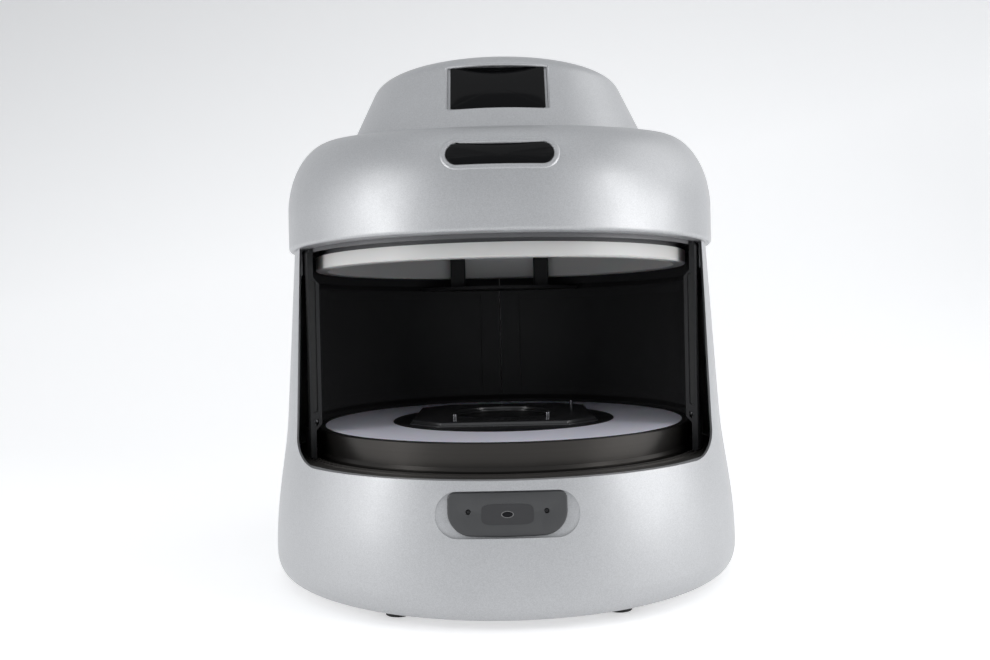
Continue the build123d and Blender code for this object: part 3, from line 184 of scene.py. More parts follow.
# moulded plastic: spark-eroded grain, faint handling marks
mouldings = {
    "blackMoulding": {"colour": (0.028, 0.028, 0.029), "roughness": 0.44,
                      "grain": 0.0007, "depth": 0.00003, "sheenLevel": 0.16},
    "darkPlate": {"colour": (0.058, 0.059, 0.061), "roughness": 0.42,
                  "grain": 0.0006, "depth": 0.00005, "sheenLevel": 0.50},
    "smokedWindow": {"colour": (0.034, 0.034, 0.036), "roughness": 0.32,
                     "grain": 0.0006, "depth": 0.00001, "sheenLevel": 0.50},
    "adapterBlack": {"colour": (0.020, 0.020, 0.021), "roughness": 0.22, "variation": 0.15,
                     "grain": 0.0011, "depth": 0.000002, "sheenLevel": 0.80},
    "insertBlack": {"colour": (0.009, 0.009, 0.010), "roughness": 0.42,
                    "grain": 0.0008, "depth": 0.00003, "sheenLevel": 0.45},
    # painted shade: the hood is coloured darker grey than its white plastic, for the shade inside the canopy
    "hoodGreyPaintedShade": {"colour": (0.17, 0.17, 0.185), "roughness": 0.60,
                 "grain": 0.0007, "depth": 0.00003, "sheenLevel": 0.40},
    "socketBlack": {"colour": (0.018, 0.018, 0.018), "roughness": 0.38,
                    "grain": 0.0005, "depth": 0.00002, "sheenLevel": 0.50},
    "rockerBlack": {"colour": (0.022, 0.022, 0.023), "roughness": 0.22,
                    "grain": 0.0004, "depth": 0.00001, "sheenLevel": 0.50},
    "chipBlack": {"colour": (0.020, 0.020, 0.022), "roughness": 0.50,
                  "grain": 0.0004, "depth": 0.00002, "sheenLevel": 0.40},
    "markWhite": {"colour": (0.72, 0.72, 0.70), "roughness": 0.55,
                  "grain": 0.0003, "depth": 0.00001, "sheenLevel": 0.40},
}
mouldingWear = {"markScale": 60.0, "tint": (0.12, 0.14), "gloss": (0.05, 0.06), "grainStrength": 0.5}


def mouldedMaterial(name, values):
    material, tree, shader = startMaterial(name)
    point = objectPoint(tree)
    marks = noiseField(tree, point, mouldingWear["markScale"], detail=4.0, roughness=0.6)
    variation = values.get("variation", 1.0)  # how much of the usual wear it shows
    tint = [share * variation for share in mouldingWear["tint"]]
    gloss = [share * variation for share in mouldingWear["gloss"]]
    tintSurface(tree, shader, marks, values["colour"], *tint)
    varyGloss(tree, shader, marks, values["roughness"], *gloss)
    grain = cellField(tree, point, 1 / values["grain"], output="Distance")
    addBump(tree, shader, grain, values["depth"], mouldingWear["grainStrength"])
    setShader(shader, Specular_IOR_Level=values["sheenLevel"])
    return material


# glossy black resin and the small lens, with a few dust specks
glosses = {
    "badgeGloss": {"colour": (0.0030, 0.0030, 0.0034), "speckColour": (0.06, 0.06, 0.06),
                   "speckSpacing": 0.006, "roughness": 0.05},
    "statusLens": {"colour": (0.012, 0.012, 0.014), "speckColour": (0.03, 0.03, 0.03),
                   "speckSpacing": 0.004, "roughness": 0.12},
}
glossWear = {"speckEdge": (0.015, 0.03), "smearScale": 30.0, "gloss": (0.0, 0.05), "sheenLevel": 0.14}


def glossMaterial(name, values):
    material, tree, shader = startMaterial(name)
    point = objectPoint(tree)
    dust = cellField(tree, point, 1 / values["speckSpacing"], output="Distance")
    speck = spread(tree, dust, 1.0, 0.0, *glossWear["speckEdge"])
    paintBetween(tree, shader, speck, values["colour"], values["speckColour"])
    smears = noiseField(tree, point, glossWear["smearScale"], detail=3.0)
    varyGloss(tree, shader, smears, values["roughness"], *glossWear["gloss"])
    setShader(shader, Specular_IOR_Level=glossWear["sheenLevel"])
    return material


# turned metal: fine rings about the vertical axis
turnedMetals = {
    "drumAnodised": {"colour": (0.044, 0.041, 0.038), "roughness": 0.30, "metallic": 0.85,
                     "pitch": 0.0018, "depth": 0.000002},
    "lensAnodised": {"colour": (0.022, 0.022, 0.024), "roughness": 0.38, "metallic": 0.60,
                     "pitch": 0.0006, "depth": 0.00001},
}
turnedWear = {"cloudScale": 38.0, "tint": (0.06, 0.07), "gloss": (0.015, 0.02), "ringStrength": 0.5}


def turnedMaterial(name, values):
    material, tree, shader = startMaterial(name)
    point = objectPoint(tree)
    parts = addNode(tree, "ShaderNodeSeparateXYZ")
    tree.links.new(point, parts.inputs["Vector"])
    flat = addNode(tree, "ShaderNodeCombineXYZ")
    tree.links.new(parts.outputs["X"], flat.inputs["X"])
    tree.links.new(parts.outputs["Y"], flat.inputs["Y"])
    reach = addNode(tree, "ShaderNodeVectorMath", operation="LENGTH")
    tree.links.new(flat.outputs["Vector"], reach.inputs[0])
    along = addNode(tree, "ShaderNodeCombineXYZ")
    tree.links.new(reach.outputs["Value"], along.inputs["X"])
    tree.links.new(parts.outputs["Z"], along.inputs["Y"])
    rings = noiseField(tree, along.outputs["Vector"], 1 / values["pitch"], detail=1.0)
    cloud = noiseField(tree, point, turnedWear["cloudScale"], detail=3.0)
    tintSurface(tree, shader, rings, values["colour"], *turnedWear["tint"])
    varyGloss(tree, shader, cloud, values["roughness"], *turnedWear["gloss"])
    addBump(tree, shader, rings, values["depth"], turnedWear["ringStrength"])
    setShader(shader, Metallic=values["metallic"])
    return material


# opal plastics that let a little light through
opals = {
    "ringOpal": {"colour": (0.66, 0.655, 0.64), "roughness": 0.36, "depth": 0.00003},
    "stageOpal": {"colour": (0.87, 0.86, 0.97), "roughness": 0.45, "depth": 0.00002},
}
opalWear = {"cloudScale": 14.0, "smearScale": 90.0, "dimpleScale": 900.0, "tint": (0.035, 0.03),
            "gloss": (0.04, 0.05), "dimpleStrength": 0.4, "glow": 0.12, "glowReach": 0.002}


def opalMaterial(name, values):
    material, tree, shader = startMaterial(name)
    point = objectPoint(tree)
    cloud = noiseField(tree, point, opalWear["cloudScale"], detail=3.0, roughness=0.55)
    tintSurface(tree, shader, cloud, values["colour"], *opalWear["tint"])
    smears = noiseField(tree, point, opalWear["smearScale"], detail=4.0)
    varyGloss(tree, shader, smears, values["roughness"], *opalWear["gloss"])
    dimples = noiseField(tree, point, opalWear["dimpleScale"])
    addBump(tree, shader, dimples, values["depth"], opalWear["dimpleStrength"])
    setShader(shader, Subsurface_Weight=opalWear["glow"], Subsurface_Scale=opalWear["glowReach"])
    return material


# sheet metal and fixings: short brushed scratches, some cloud in the gloss
metals = {
    "trackGrey": {"colour": (0.060, 0.056, 0.052), "roughness": 0.42, "metallic": 0.35,
                  "stretch": (400, 400, 1600)},
    # painted shade: the ring carrier and upper track are coloured dark grey instead of their silver paint,
    # for the shade inside the canopy
    "carrierGreyPaintedShade": {"colour": (0.13, 0.13, 0.135), "roughness": 0.48, "metallic": 0.35,
                    "stretch": (300, 300, 1200)},
    "chassisSteel": {"colour": (0.50, 0.50, 0.51), "roughness": 0.38, "metallic": 0.95,
                     "stretch": (1400, 120, 1400)},
    "screwSteel": {"colour": (0.62, 0.62, 0.63), "roughness": 0.24, "metallic": 1.0,
                   "stretch": (2600, 2600, 2600)},
    "bezelGrey": {"colour": (0.20, 0.20, 0.20), "roughness": 0.40, "metallic": 0.6,
                  "stretch": (1500, 1500, 1500)},
    "blackenedSteel": {"colour": (0.050, 0.050, 0.052), "roughness": 0.30, "metallic": 0.85,
                       "stretch": (2600, 2600, 2600)},
    "pinSteel": {"colour": (0.15, 0.15, 0.16), "roughness": 0.14, "metallic": 1.0,
                 "stretch": (1500, 1500, 5000)},
    "brassPlate": {"colour": (0.70, 0.56, 0.30), "roughness": 0.28, "metallic": 1.0,
                   "stretch": (2000, 2000, 2000)},
    "panelGrey": {"colour": (0.045, 0.046, 0.048), "roughness": 0.50, "metallic": 0.20,
                  "stretch": (1200, 1200, 1200)},
}
metalWear = {"cloudScale": 70.0, "tint": (0.14, 0.12), "gloss": (0.05, 0.06),
             "scratchDepth": 0.00001, "scratchStrength": 0.4}


def metalMaterial(name, values):
    material, tree, shader = startMaterial(name)
    point = objectPoint(tree)
    mapping = addNode(tree, "ShaderNodeMapping")
    mapping.inputs["Scale"].default_value = values["stretch"]
    tree.links.new(point, mapping.inputs["Vector"])
    lines = noiseField(tree, mapping.outputs["Vector"], 1.0, detail=3.0)
    tintSurface(tree, shader, lines, values["colour"], *metalWear["tint"])
    cloud = noiseField(tree, point, metalWear["cloudScale"], detail=3.0)
    varyGloss(tree, shader, cloud, values["roughness"], *metalWear["gloss"])
    addBump(tree, shader, lines, metalWear["scratchDepth"], metalWear["scratchStrength"])
    setShader(shader, Metallic=values["metallic"])
    return material


# rubber: matt, a little dust on it
rubberLook = {"colour": (0.016, 0.016, 0.016), "dust": (0.035, 0.034, 0.033), "dustScale": 160.0,
              "dustEdge": (0.45, 0.8), "roughness": 0.72, "dustyRoughness": 0.9,
              "grainScale": 1800.0, "depth": 0.00003, "grainStrength": 0.5}


def rubberMaterial(values):
    material, tree, shader = startMaterial("softRubber")
    point = objectPoint(tree)
    cloud = noiseField(tree, point, values["dustScale"], detail=5.0, roughness=0.65)
    dust = spread(tree, cloud, 0.0, 1.0, *values["dustEdge"])
    paintBetween(tree, shader, dust, values["colour"], values["dust"])
    matt = spread(tree, dust, values["roughness"], values["dustyRoughness"], 0.0, 1.0)
    tree.links.new(matt, shader.inputs["Roughness"])
    grain = noiseField(tree, point, values["grainScale"])
    addBump(tree, shader, grain, values["depth"], values["grainStrength"])
    return material


# circuit boards: solder mask with a maze of copper tracks under it
boardLook = {"mask": (0.008, 0.060, 0.030), "track": (0.016, 0.115, 0.052), "trackPitch": 0.0035,
             "trackRun": 4, "trackShare": 0.16, "trackHeight": 0.00003, "trackStrength": 0.4,
             "roughness": 0.3, "coat": 0.3, "coatRoughness": 0.15}


def boardMaterial(values):
    material, tree, shader = startMaterial("circuitBoard")
    bricks = addNode(tree, "ShaderNodeTexBrick")
    bricks.inputs["Scale"].default_value = 1.0
    bricks.inputs["Brick Width"].default_value = values["trackPitch"] * values["trackRun"]
    bricks.inputs["Row Height"].default_value = values["trackPitch"]
    bricks.inputs["Mortar Size"].default_value = values["trackPitch"] * values["trackShare"]
    tree.links.new(objectPoint(tree), bricks.inputs["Vector"])
    paintBetween(tree, shader, bricks.outputs["Fac"], values["mask"], values["track"])
    addBump(tree, shader, bricks.outputs["Fac"], values["trackHeight"], values["trackStrength"])
    setShader(shader, Roughness=values["roughness"], Coat_Weight=values["coat"],
              Coat_Roughness=values["coatRoughness"])
    return material


# light emitting diodes: yellow phosphor under clear resin
diodeLook = {"edge": (0.80, 0.78, 0.70), "phosphor": (0.85, 0.62, 0.12), "cloudScale": 420.0,
             "cloudEdge": (0.42, 0.58), "roughness": 0.2, "coat": 0.4}


def diodeMaterial(values):
    material, tree, shader = startMaterial("diodeResin")
    cloud = noiseField(tree, objectPoint(tree), values["cloudScale"])
    patch = spread(tree, cloud, 0.0, 1.0, *values["cloudEdge"])
    paintBetween(tree, shader, patch, values["edge"], values["phosphor"])
    setShader(shader, Roughness=values["roughness"], Coat_Weight=values["coat"])
    return material


# coated lens glass, a little bluer in places
glassLook = {"tint": (0.62, 0.68, 0.80), "deep": (0.40, 0.44, 0.60), "cloudScale": 40.0,
             "roughness": 0.03, "clearness": 0.7, "bending": 1.5}


def glassMaterial(values):
    material, tree, shader = startMaterial("coatedGlass")
    cloud = noiseField(tree, objectPoint(tree), values["cloudScale"])
    paintBetween(tree, shader, cloud, values["tint"], values["deep"])
    setShader(shader, Roughness=values["roughness"], Transmission_Weight=values["clearness"],
              IOR=values["bending"])
    return material


finishes = {"silverPaint": silverPaintMaterial(silverPaint)}
for name, values in mouldings.items():
    finishes[name] = mouldedMaterial(name, values)
for name, values in turnedMetals.items():
    finishes[name] = turnedMaterial(name, values)
for name, values in opals.items():
    finishes[name] = opalMaterial(name, values)
for name, values in metals.items():
    finishes[name] = metalMaterial(name, values)
for name, values in glosses.items():
    finishes[name] = glossMaterial(name, values)
finishes["softRubber"] = rubberMaterial(rubberLook)
finishes["circuitBoard"] = boardMaterial(boardLook)
finishes["diodeResin"] = diodeMaterial(diodeLook)
finishes["coatedGlass"] = glassMaterial(glassLook)
print("finishes made:", len(finishes))

# which finish each node of the frame wears
nodeFinish = {
    "silverPaint": ["base_shell", "canopy_shell", "dome_cover"],
    "statusLens": ["status_lens"],
    "screwSteel": ["clamp_screws", "lamp_spacers"],
    "trackGrey": ["lower_track"],
    "blackMoulding": ["rear_shelf", "shelf_posts", "left_door", "right_door", "stage_column"],
    "ringOpal": ["light_ring"],
    "carrierGreyPaintedShade": ["ring_carrier", "upper_track"],
    "circuitBoard": ["ring_board", "lamp_board", "control_board"],
    "diodeResin": ["ring_leds", "lamp_leds"],
    "hoodGreyPaintedShade": ["light_hood"],
    "softRubber": ["left_door_seal", "right_door_seal", "left_door_glides", "right_door_glides", "feet"],
    "drumAnodised": ["stage_drum"],
    "stageOpal": ["stage_diffuser"],
    "pinSteel": ["locating_pins", "usb_socket"],
    "chassisSteel": ["ceiling_plate", "camera_deck", "deck_pillars", "drum_pillars", "base_plate",
                     "power_supply", "camera_body"],
    "lensAnodised": ["lens_barrel", "focus_ring", "iris_ring"],
    "coatedGlass": ["lens_glass"],
    "brassPlate": ["board_standoffs", "inlet_pins"],
    "chipBlack": ["board_chips"],
    "socketBlack": ["power_inlet", "switch_frame"],
    "rockerBlack": ["switch_rocker"],
}
for finish, wearers in nodeFinish.items():
    for wearer in wearers:
        skin = nodes[wearer].data
        skin.materials.clear()
        skin.materials.append(finishes[finish])
print("nodes dressed:", sum(len(wearers) for wearers in nodeFinish.values()))

# helpers that read places from the frame


def mergedCopy(node):
    # a node's mesh is loose triangles, so its copy is joined up before its shape is read
    shape = bmesh.new()
    shape.from_mesh(nodes[node].data)
    bmesh.ops.remove_doubles(shape, verts=shape.verts, dist=1e-6)
    return shape


def solidsOf(shape):
    # the separate solids of a merged mesh, each a list of its vertices
    waiting = set(shape.verts)
    solids = []
    while waiting:
        found = [waiting.pop()]
        for vertex in found:
            for edge in vertex.link_edges:
                other = edge.other_vert(vertex)
                if other in waiting:
                    waiting.remove(other)
                    found.append(other)
        solids.append(found)
    return solids


def facingNormal(vertices, outward):
    # area-weighted normal of the faces that look outward
    rough = Vector(outward)
    faces = {face for vertex in vertices for face in vertex.link_faces if face.normal.dot(rough) > 0.85}
    return sum((face.normal * face.calc_area() for face in faces), Vector()).normalized()


def castOn(node):
    # a ray caster against one node's surface
    shape = mergedCopy(node)
    caster = BVHTree.FromBMesh(shape)
    shape.free()
    return caster


def linkPiece(name, mesh, body, standsFor=()):
    piece = bpy.data.objects.new(name, mesh)
    bpy.context.scene.collection.objects.link(piece)
    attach(piece, body)
    if standsFor:
        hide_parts(*standsFor)
    return piece


def meshFrom(shape, name, finishNames, sharpAngle=35.0):
    bmesh.ops.remove_doubles(shape, verts=shape.verts, dist=1e-7)
    bmesh.ops.recalc_face_normals(shape, faces=shape.faces)
    mesh = bpy.data.meshes.new(name)
    shape.to_mesh(mesh)
    shape.free()
    for finishName in finishNames:
        mesh.materials.append(finishes[finishName])
    mesh.polygons.foreach_set("use_smooth", [True] * len(mesh.polygons))
    mesh.set_sharp_from_angle(angle=radians(sharpAngle))
    return mesh


def skinLoops(shape, loops, capped=True):
    # joins rings of points into a skin; a capped one ends in a fan at each end
    rows = [[shape.verts.new(point) for point in loop] for loop in loops]
    for low, high in zip(rows, rows[1:]):
        count = len(low)
        for i in range(count):
            shape.faces.new((low[i], low[(i + 1) % count], high[(i + 1) % count], high[i]))
    if capped:
        for row in (rows[0], rows[-1]):
            middle = shape.verts.new(sum((vertex.co for vertex in row), Vector()) / len(row))
            for i in range(len(row)):
                shape.faces.new((row[i], row[(i + 1) % len(row)], middle))


# screws: one tree makes every cross-recess head from points that carry axis and sizes
screwShape = {"Crown": 0.28, "Slot Width": 0.26, "Slot Length": 1.25, "Slot Depth": 0.55}
screwHeadShare = 0.9  # a head is at most this share of its radius high
screwRimShare = 0.97  # points this far out, as a share of the head's radius, belong to the head
bareShankShare = 0.98  # the shank's radius as a share of the head's, where no shank is seen
thinnestShank = 1e-5
screwVectors = ("screwAxis", "headSize", "headSpot", "shankSize", "shankSpot")
screwGroups = {
    "plate_screws": {"body": "root", "outward": (0, -1, 0), "dark": True},
    "drum_screws": {"body": "root", "outward": None, "dark": True},
    "panel_screws": {"body": "root", "outward": (0, 1, 0), "dark": False},
    "plate_fasteners": {"body": "root", "outward": (0, 0, -1), "dark": False},
    "foot_screws": {"body": "root", "outward": (0, 0, -1), "dark": False},
    "left_door_screw": {"body": "left_door", "outward": (0, -1, 0), "dark": True},
    "right_door_screw": {"body": "right_door", "outward": (0, -1, 0), "dark": True},
}


def namedValue(tree, name, kind="FLOAT_VECTOR"):
    node = addNode(tree, "GeometryNodeInputNamedAttribute", data_type=kind)
    node.inputs["Name"].default_value = name
    return node.outputs["Attribute"]


def screwTree():
    tree = bpy.data.node_groups.new("crossHeadScrews", "GeometryNodeTree")
    tree.interface.new_socket("Geometry", in_out="INPUT", socket_type="NodeSocketGeometry")
    tree.interface.new_socket("Geometry", in_out="OUTPUT", socket_type="NodeSocketGeometry")
    for label, value in screwShape.items():
        socket = tree.interface.new_socket(label, in_out="INPUT", socket_type="NodeSocketFloat")
        socket.default_value = value
    for label in ("Plain Metal", "Dark Metal"):
        tree.interface.new_socket(label, in_out="INPUT", socket_type="NodeSocketMaterial")
    entry = addNode(tree, "NodeGroupInput")
    leave = addNode(tree, "NodeGroupOutput")
    # head: a capped drum whose top falls away towards its rim
    drum = addNode(tree, "GeometryNodeMeshCylinder", fill_type="TRIANGLE_FAN")
    drum.inputs["Vertices"].default_value = 24
    drum.inputs["Fill Segments"].default_value = 5
    drum.inputs["Radius"].default_value = 1.0
    drum.inputs["Depth"].default_value = 1.0
    spot = addNode(tree, "GeometryNodeInputPosition")
    axes = addNode(tree, "ShaderNodeSeparateXYZ")
    tree.links.new(spot.outputs["Position"], axes.inputs["Vector"])
    squares = [mathNode(tree, "MULTIPLY", axes.outputs[axis], axes.outputs[axis]) for axis in ("X", "Y")]
    fall = mathNode(tree, "MULTIPLY", mathNode(tree, "ADD", *squares), entry.outputs["Crown"])
    onTop = mathNode(tree, "GREATER_THAN", axes.outputs["Z"], 0.4)
    drop = mathNode(tree, "MULTIPLY", fall, onTop)
    shift = addNode(tree, "ShaderNodeCombineXYZ")
    tree.links.new(mathNode(tree, "SUBTRACT", -0.5, drop), shift.inputs["Z"])  # the top comes to the point
    crowned = addNode(tree, "GeometryNodeSetPosition")
    tree.links.new(drum.outputs["Mesh"], crowned.inputs["Geometry"])
    tree.links.new(shift.outputs["Vector"], crowned.inputs["Offset"])
    # cross recess: two crossed bars cut out of the head
    recess = addNode(tree, "GeometryNodeMeshBoolean", operation="DIFFERENCE")
    tree.links.new(crowned.outputs["Geometry"], recess.inputs["Mesh 1"])
    twice = mathNode(tree, "MULTIPLY", entry.outputs["Slot Depth"], 2.0)  # half of each bar is above the head
    for first, second in (("Slot Length", "Slot Width"), ("Slot Width", "Slot Length")):
        size = addNode(tree, "ShaderNodeCombineXYZ")
        tree.links.new(entry.outputs[first], size.inputs["X"])
        tree.links.new(entry.outputs[second], size.inputs["Y"])
        tree.links.new(twice, size.inputs["Z"])
        bar = addNode(tree, "GeometryNodeMeshCube")
        tree.links.new(size.outputs["Vector"], bar.inputs["Size"])
        tree.links.new(bar.outputs["Mesh"], recess.inputs["Mesh 2"])
    shank = addNode(tree, "GeometryNodeMeshCylinder")
    shank.inputs["Vertices"].default_value = 16
    shank.inputs["Radius"].default_value = 1.0
    shank.inputs["Depth"].default_value = 1.0
    # heads and shanks stand along each point's own axis
    turned = addNode(tree, "FunctionNodeAlignRotationToVector", axis="Z")
    tree.links.new(namedValue(tree, "screwAxis"), turned.inputs["Vector"])
    both = addNode(tree, "GeometryNodeJoinGeometry")
    for part, sizeName, spotName in ((recess, "headSize", "headSpot"), (shank, "shankSize", "shankSpot")):
        moved = addNode(tree, "GeometryNodeSetPosition")
        tree.links.new(entry.outputs["Geometry"], moved.inputs["Geometry"])
        tree.links.new(namedValue(tree, spotName), moved.inputs["Position"])
        stand = addNode(tree, "GeometryNodeInstanceOnPoints")
        tree.links.new(moved.outputs["Geometry"], stand.inputs["Points"])
        tree.links.new(part.outputs["Mesh"], stand.inputs["Instance"])
        tree.links.new(turned.outputs["Rotation"], stand.inputs["Rotation"])
        tree.links.new(namedValue(tree, sizeName), stand.inputs["Scale"])
        tree.links.new(stand.outputs["Instances"], both.inputs["Geometry"])
    real = addNode(tree, "GeometryNodeRealizeInstances")
    tree.links.new(both.outputs["Geometry"], real.inputs["Geometry"])
    plain = addNode(tree, "GeometryNodeSetMaterial")
    tree.links.new(real.outputs["Geometry"], plain.inputs["Geometry"])
    tree.links.new(entry.outputs["Plain Metal"], plain.inputs["Material"])
    dark = addNode(tree, "GeometryNodeSetMaterial")
    tree.links.new(plain.outputs["Geometry"], dark.inputs["Geometry"])
    tree.links.new(namedValue(tree, "darkMetal", "BOOLEAN"), dark.inputs["Selection"])
    tree.links.new(entry.outputs["Dark Metal"], dark.inputs["Material"])
    tree.links.new(dark.outputs["Geometry"], leave.inputs["Geometry"])
    return tree


def screwPoint(vertices, outward):
    # where a screw's head is, which way it looks, and how large its head and shank are
    middle = sum((vertex.co for vertex in vertices), Vector()) / len(vertices)
    if outward is None:
        spans = [max(v.co[i] for v in vertices) - min(v.co[i] for v in vertices) for i in range(3)]
        longest = spans.index(max(spans))
        outward = [0.0, 0.0, 0.0]
        outward[longest] = 1.0 if middle[longest] > 0 else -1.0
    axis = facingNormal(vertices, outward)
    heights = [(vertex.co - middle).dot(axis) for vertex in vertices]
    reaches = [((vertex.co - middle) - axis * height).length for vertex, height in zip(vertices, heights)]
    headRadius = max(reaches)
    top = max(heights)
    foot = min(heights)
    headFoot = min(height for height, reach in zip(heights, reaches) if reach > screwRimShare * headRadius)
    below = [reach for height, reach in zip(heights, reaches) if height < headFoot - thinnestShank]
    shankRadius = max(below, default=bareShankShare * headRadius)
    headHeight = min(top - headFoot, screwHeadShare * headRadius)
    shankLength = top - headHeight - foot
    return {
        "screwAxis": axis,
        "headSpot": middle + axis * top,
        "headSize": (headRadius, headRadius, headHeight),
        "shankSpot": middle + axis * (foot + shankLength / 2),
        "shankSize": (shankRadius, shankRadius, max(shankLength, thinnestShank)),
    }


def keepUsedSlots(mesh):
    # drops the empty material slots that a grown mesh brings along
    indices = [polygon.material_index for polygon in mesh.polygons]
    kept = [index for index in sorted(set(indices)) if mesh.materials[index]]
    skins = [mesh.materials[index] for index in kept]
    mesh.materials.clear()
    for skin in skins:
        mesh.materials.append(skin)
    renumbered = [kept.index(index) if index in kept else 0 for index in indices]
    mesh.polygons.foreach_set("material_index", renumbered)


crossHeads = screwTree()
for body in ("root", "left_door", "right_door"):
    groups = {node: group for node, group in screwGroups.items() if group["body"] == body}
    points = []
    darks = []
    for node, group in groups.items():
        shape = mergedCopy(node)
        for vertices in solidsOf(shape):
            points.append(screwPoint(vertices, group["outward"]))
            darks.append(group["dark"])
        shape.free()
    cloud = bpy.data.meshes.new("screwPoints")
    cloud.from_pydata([point["headSpot"] for point in points], [], [])
    for key in screwVectors:
        layer = cloud.attributes.new(key, "FLOAT_VECTOR", "POINT")
        layer.data.foreach_set("vector", [value for point in points for value in point[key]])
    cloud.attributes.new("darkMetal", "BOOLEAN", "POINT").data.foreach_set("value", darks)
    seed = bpy.data.objects.new("screwSeed", cloud)
    bpy.context.scene.collection.objects.link(seed)
    grower = seed.modifiers.new("crossHeads", "NODES")
    grower.node_group = crossHeads
    settings = dict(screwShape)
    settings["Plain Metal"] = finishes["screwSteel"]
    settings["Dark Metal"] = finishes["blackenedSteel"]
    for item in crossHeads.interface.items_tree:
        if item.in_out == "INPUT" and item.name in settings:
            grower[item.identifier] = settings[item.name]
    grown = bpy.data.meshes.new_from_object(seed.evaluated_get(bpy.context.evaluated_depsgraph_get()))
    seed.modifiers.remove(grower)
    bpy.data.objects.remove(seed)
    for key in (*screwVectors, "darkMetal"):
        if key in grown.attributes:
            grown.attributes.remove(grown.attributes[key])
    keepUsedSlots(grown)
    grown.polygons.foreach_set("use_smooth", [True] * len(grown.polygons))
    grown.set_sharp_from_angle(angle=radians(30))
    linkPiece(body + "Screws", grown, body, list(groups))
    print("screws on", body + ":", len(points), "with", len(grown.polygons), "faces")

# resin badges: black domes of resin with rounded edges, left bare
badgeShape = {"edge": 0.0008, "edgeSteps": 5, "crown": 0.0009, "crownPower": 3.0,
              "spacing": 0.0014, "rings": 7}


def frontOutline(shape, axis):
    # the rim of the face that looks along the axis, as points in order round it
    faces = {face for face in shape.faces if face.normal.dot(axis) > 0.98}
    rim = [edge for edge in shape.edges if sum(face in faces for face in edge.link_faces) == 1]
    neighbours = {}
    for edge in rim:
        first, second = edge.verts
        neighbours.setdefault(first, []).append(second)
        neighbours.setdefault(second, []).append(first)
    start = rim[0].verts[0]
    loop = [start.co.copy()]
    last = start
    here = neighbours[start][0]
    while here != start:
        loop.append(here.co.copy())
        ahead = [vertex for vertex in neighbours[here] if vertex != last]
        last, here = here, ahead[0]
    return loop


def evenPoints(loop, spacing):
    # the same closed outline with points at an even spacing, its corners kept
    spaced = []
    for first, second in zip(loop, loop[1:] + loop[:1]):
        steps = max(1, round((second - first).length / spacing))
        spaced += [first.lerp(second, i / steps) for i in range(steps)]
    return spaced


def insetOutline(loop, axis, distance):
    # moves an outline inward within its own plane
    count = len(loop)
    middle = sum(loop, Vector()) / count
    moved = []
    for i in range(count):
        along = (loop[(i + 1) % count] - loop[i - 1]).normalized()
        inward = along.cross(axis)
        if inward.dot(middle - loop[i]) < 0:
            inward = -inward
        moved.append(loop[i] + inward * distance)
    return moved


def resinBadge(name, node):
    source = mergedCopy(node)
    axis = facingNormal(source.verts, (0, -1, 0))
    loop = evenPoints(frontOutline(source, axis), badgeShape["spacing"])
    depth = max(vertex.co.y for vertex in source.verts) - max(point.y for point in loop)
    source.free()
    middle = sum(loop, Vector()) / len(loop)
    side = Vector((1, 0, 0))
    rise = axis.cross(side).normalized()
    halfSide = max(abs((point - middle).dot(side)) for point in loop)
    halfRise = max(abs((point - middle).dot(rise)) for point in loop)

    def crowned(point):
        across = min(1.0, abs((point - middle).dot(side)) / halfSide)
        up = min(1.0, abs((point - middle).dot(rise)) / halfRise)
        power = badgeShape["crownPower"]
        return point + axis * badgeShape["crown"] * (1 - across ** power) * (1 - up ** power)

    rows = [[point + Vector((0, depth, 0)) for point in loop]]
    for step in range(badgeShape["edgeSteps"] + 1):
        angle = radians(90 * step / badgeShape["edgeSteps"])
        inset = insetOutline(loop, axis, badgeShape["edge"] * (1 - cos(angle)))
        rows.append([crowned(point) - axis * badgeShape["edge"] * (1 - sin(angle)) for point in inset])
    inner = insetOutline(loop, axis, badgeShape["edge"])
    for ring in range(1, badgeShape["rings"]):
        rows.append([crowned(point.lerp(middle, ring / badgeShape["rings"])) for point in inner])
    shape = bmesh.new()
    skinLoops(shape, rows)
    linkPiece(name, meshFrom(shape, name, ["badgeGloss"], 60.0), "root", [node])


resinBadge("domeResinBadge", "dome_badge")
resinBadge("canopyResinBadge", "canopy_badge")
print("resin badges made")

# parts whose corners catch the light: the frame's own shape with its sharp edges eased
easedEdges = {
    "easedAdapter": {"node": "dish_adapter", "body": "dish_adapter", "slot": "black_moulding",
                     "finish": "adapterBlack", "width": 0.0004},
    "easedInsert": {"node": "stage_insert", "body": "stage_insert", "slot": "black_moulding",
                    "finish": "insertBlack", "width": 0.0003},
    "easedPlate": {"node": "front_plate", "body": "root", "slot": "dark_plate",
                   "finish": "darkPlate", "width": 0.0006},
    "easedPanel": {"node": "rear_panel", "body": "root", "slot": "dark_plate",
                   "finish": "panelGrey", "width": 0.0004},
}
easedCorner = 30.0  # edges sharper than this many degrees are eased


def easeEdges(name, values):
    shape = mergedCopy(values["node"])
    bmesh.ops.dissolve_limit(shape, angle_limit=radians(0.5), verts=shape.verts, edges=shape.edges)
    joined = [edge for edge in shape.edges if len(edge.link_faces) == 2]
    sharp = [edge for edge in joined if edge.calc_face_angle() > radians(easedCorner)]
    bmesh.ops.bevel(shape, geom=sharp, offset=values["width"], segments=2, profile=0.5,
                    affect="EDGES", clamp_overlap=True)
    bmesh.ops.triangulate(shape, faces=[face for face in shape.faces if len(face.verts) > 4])
    openEdges = sum(not edge.is_manifold for edge in shape.edges)
    print("eased", name, len(shape.faces), "faces,", openEdges, "open edges")
    mesh = meshFrom(shape, name, [values["finish"]], 50.0)
    linkPiece(name, mesh, values["body"], [values["node"]])


for name, values in easedEdges.items():
    easeEdges(name, values)

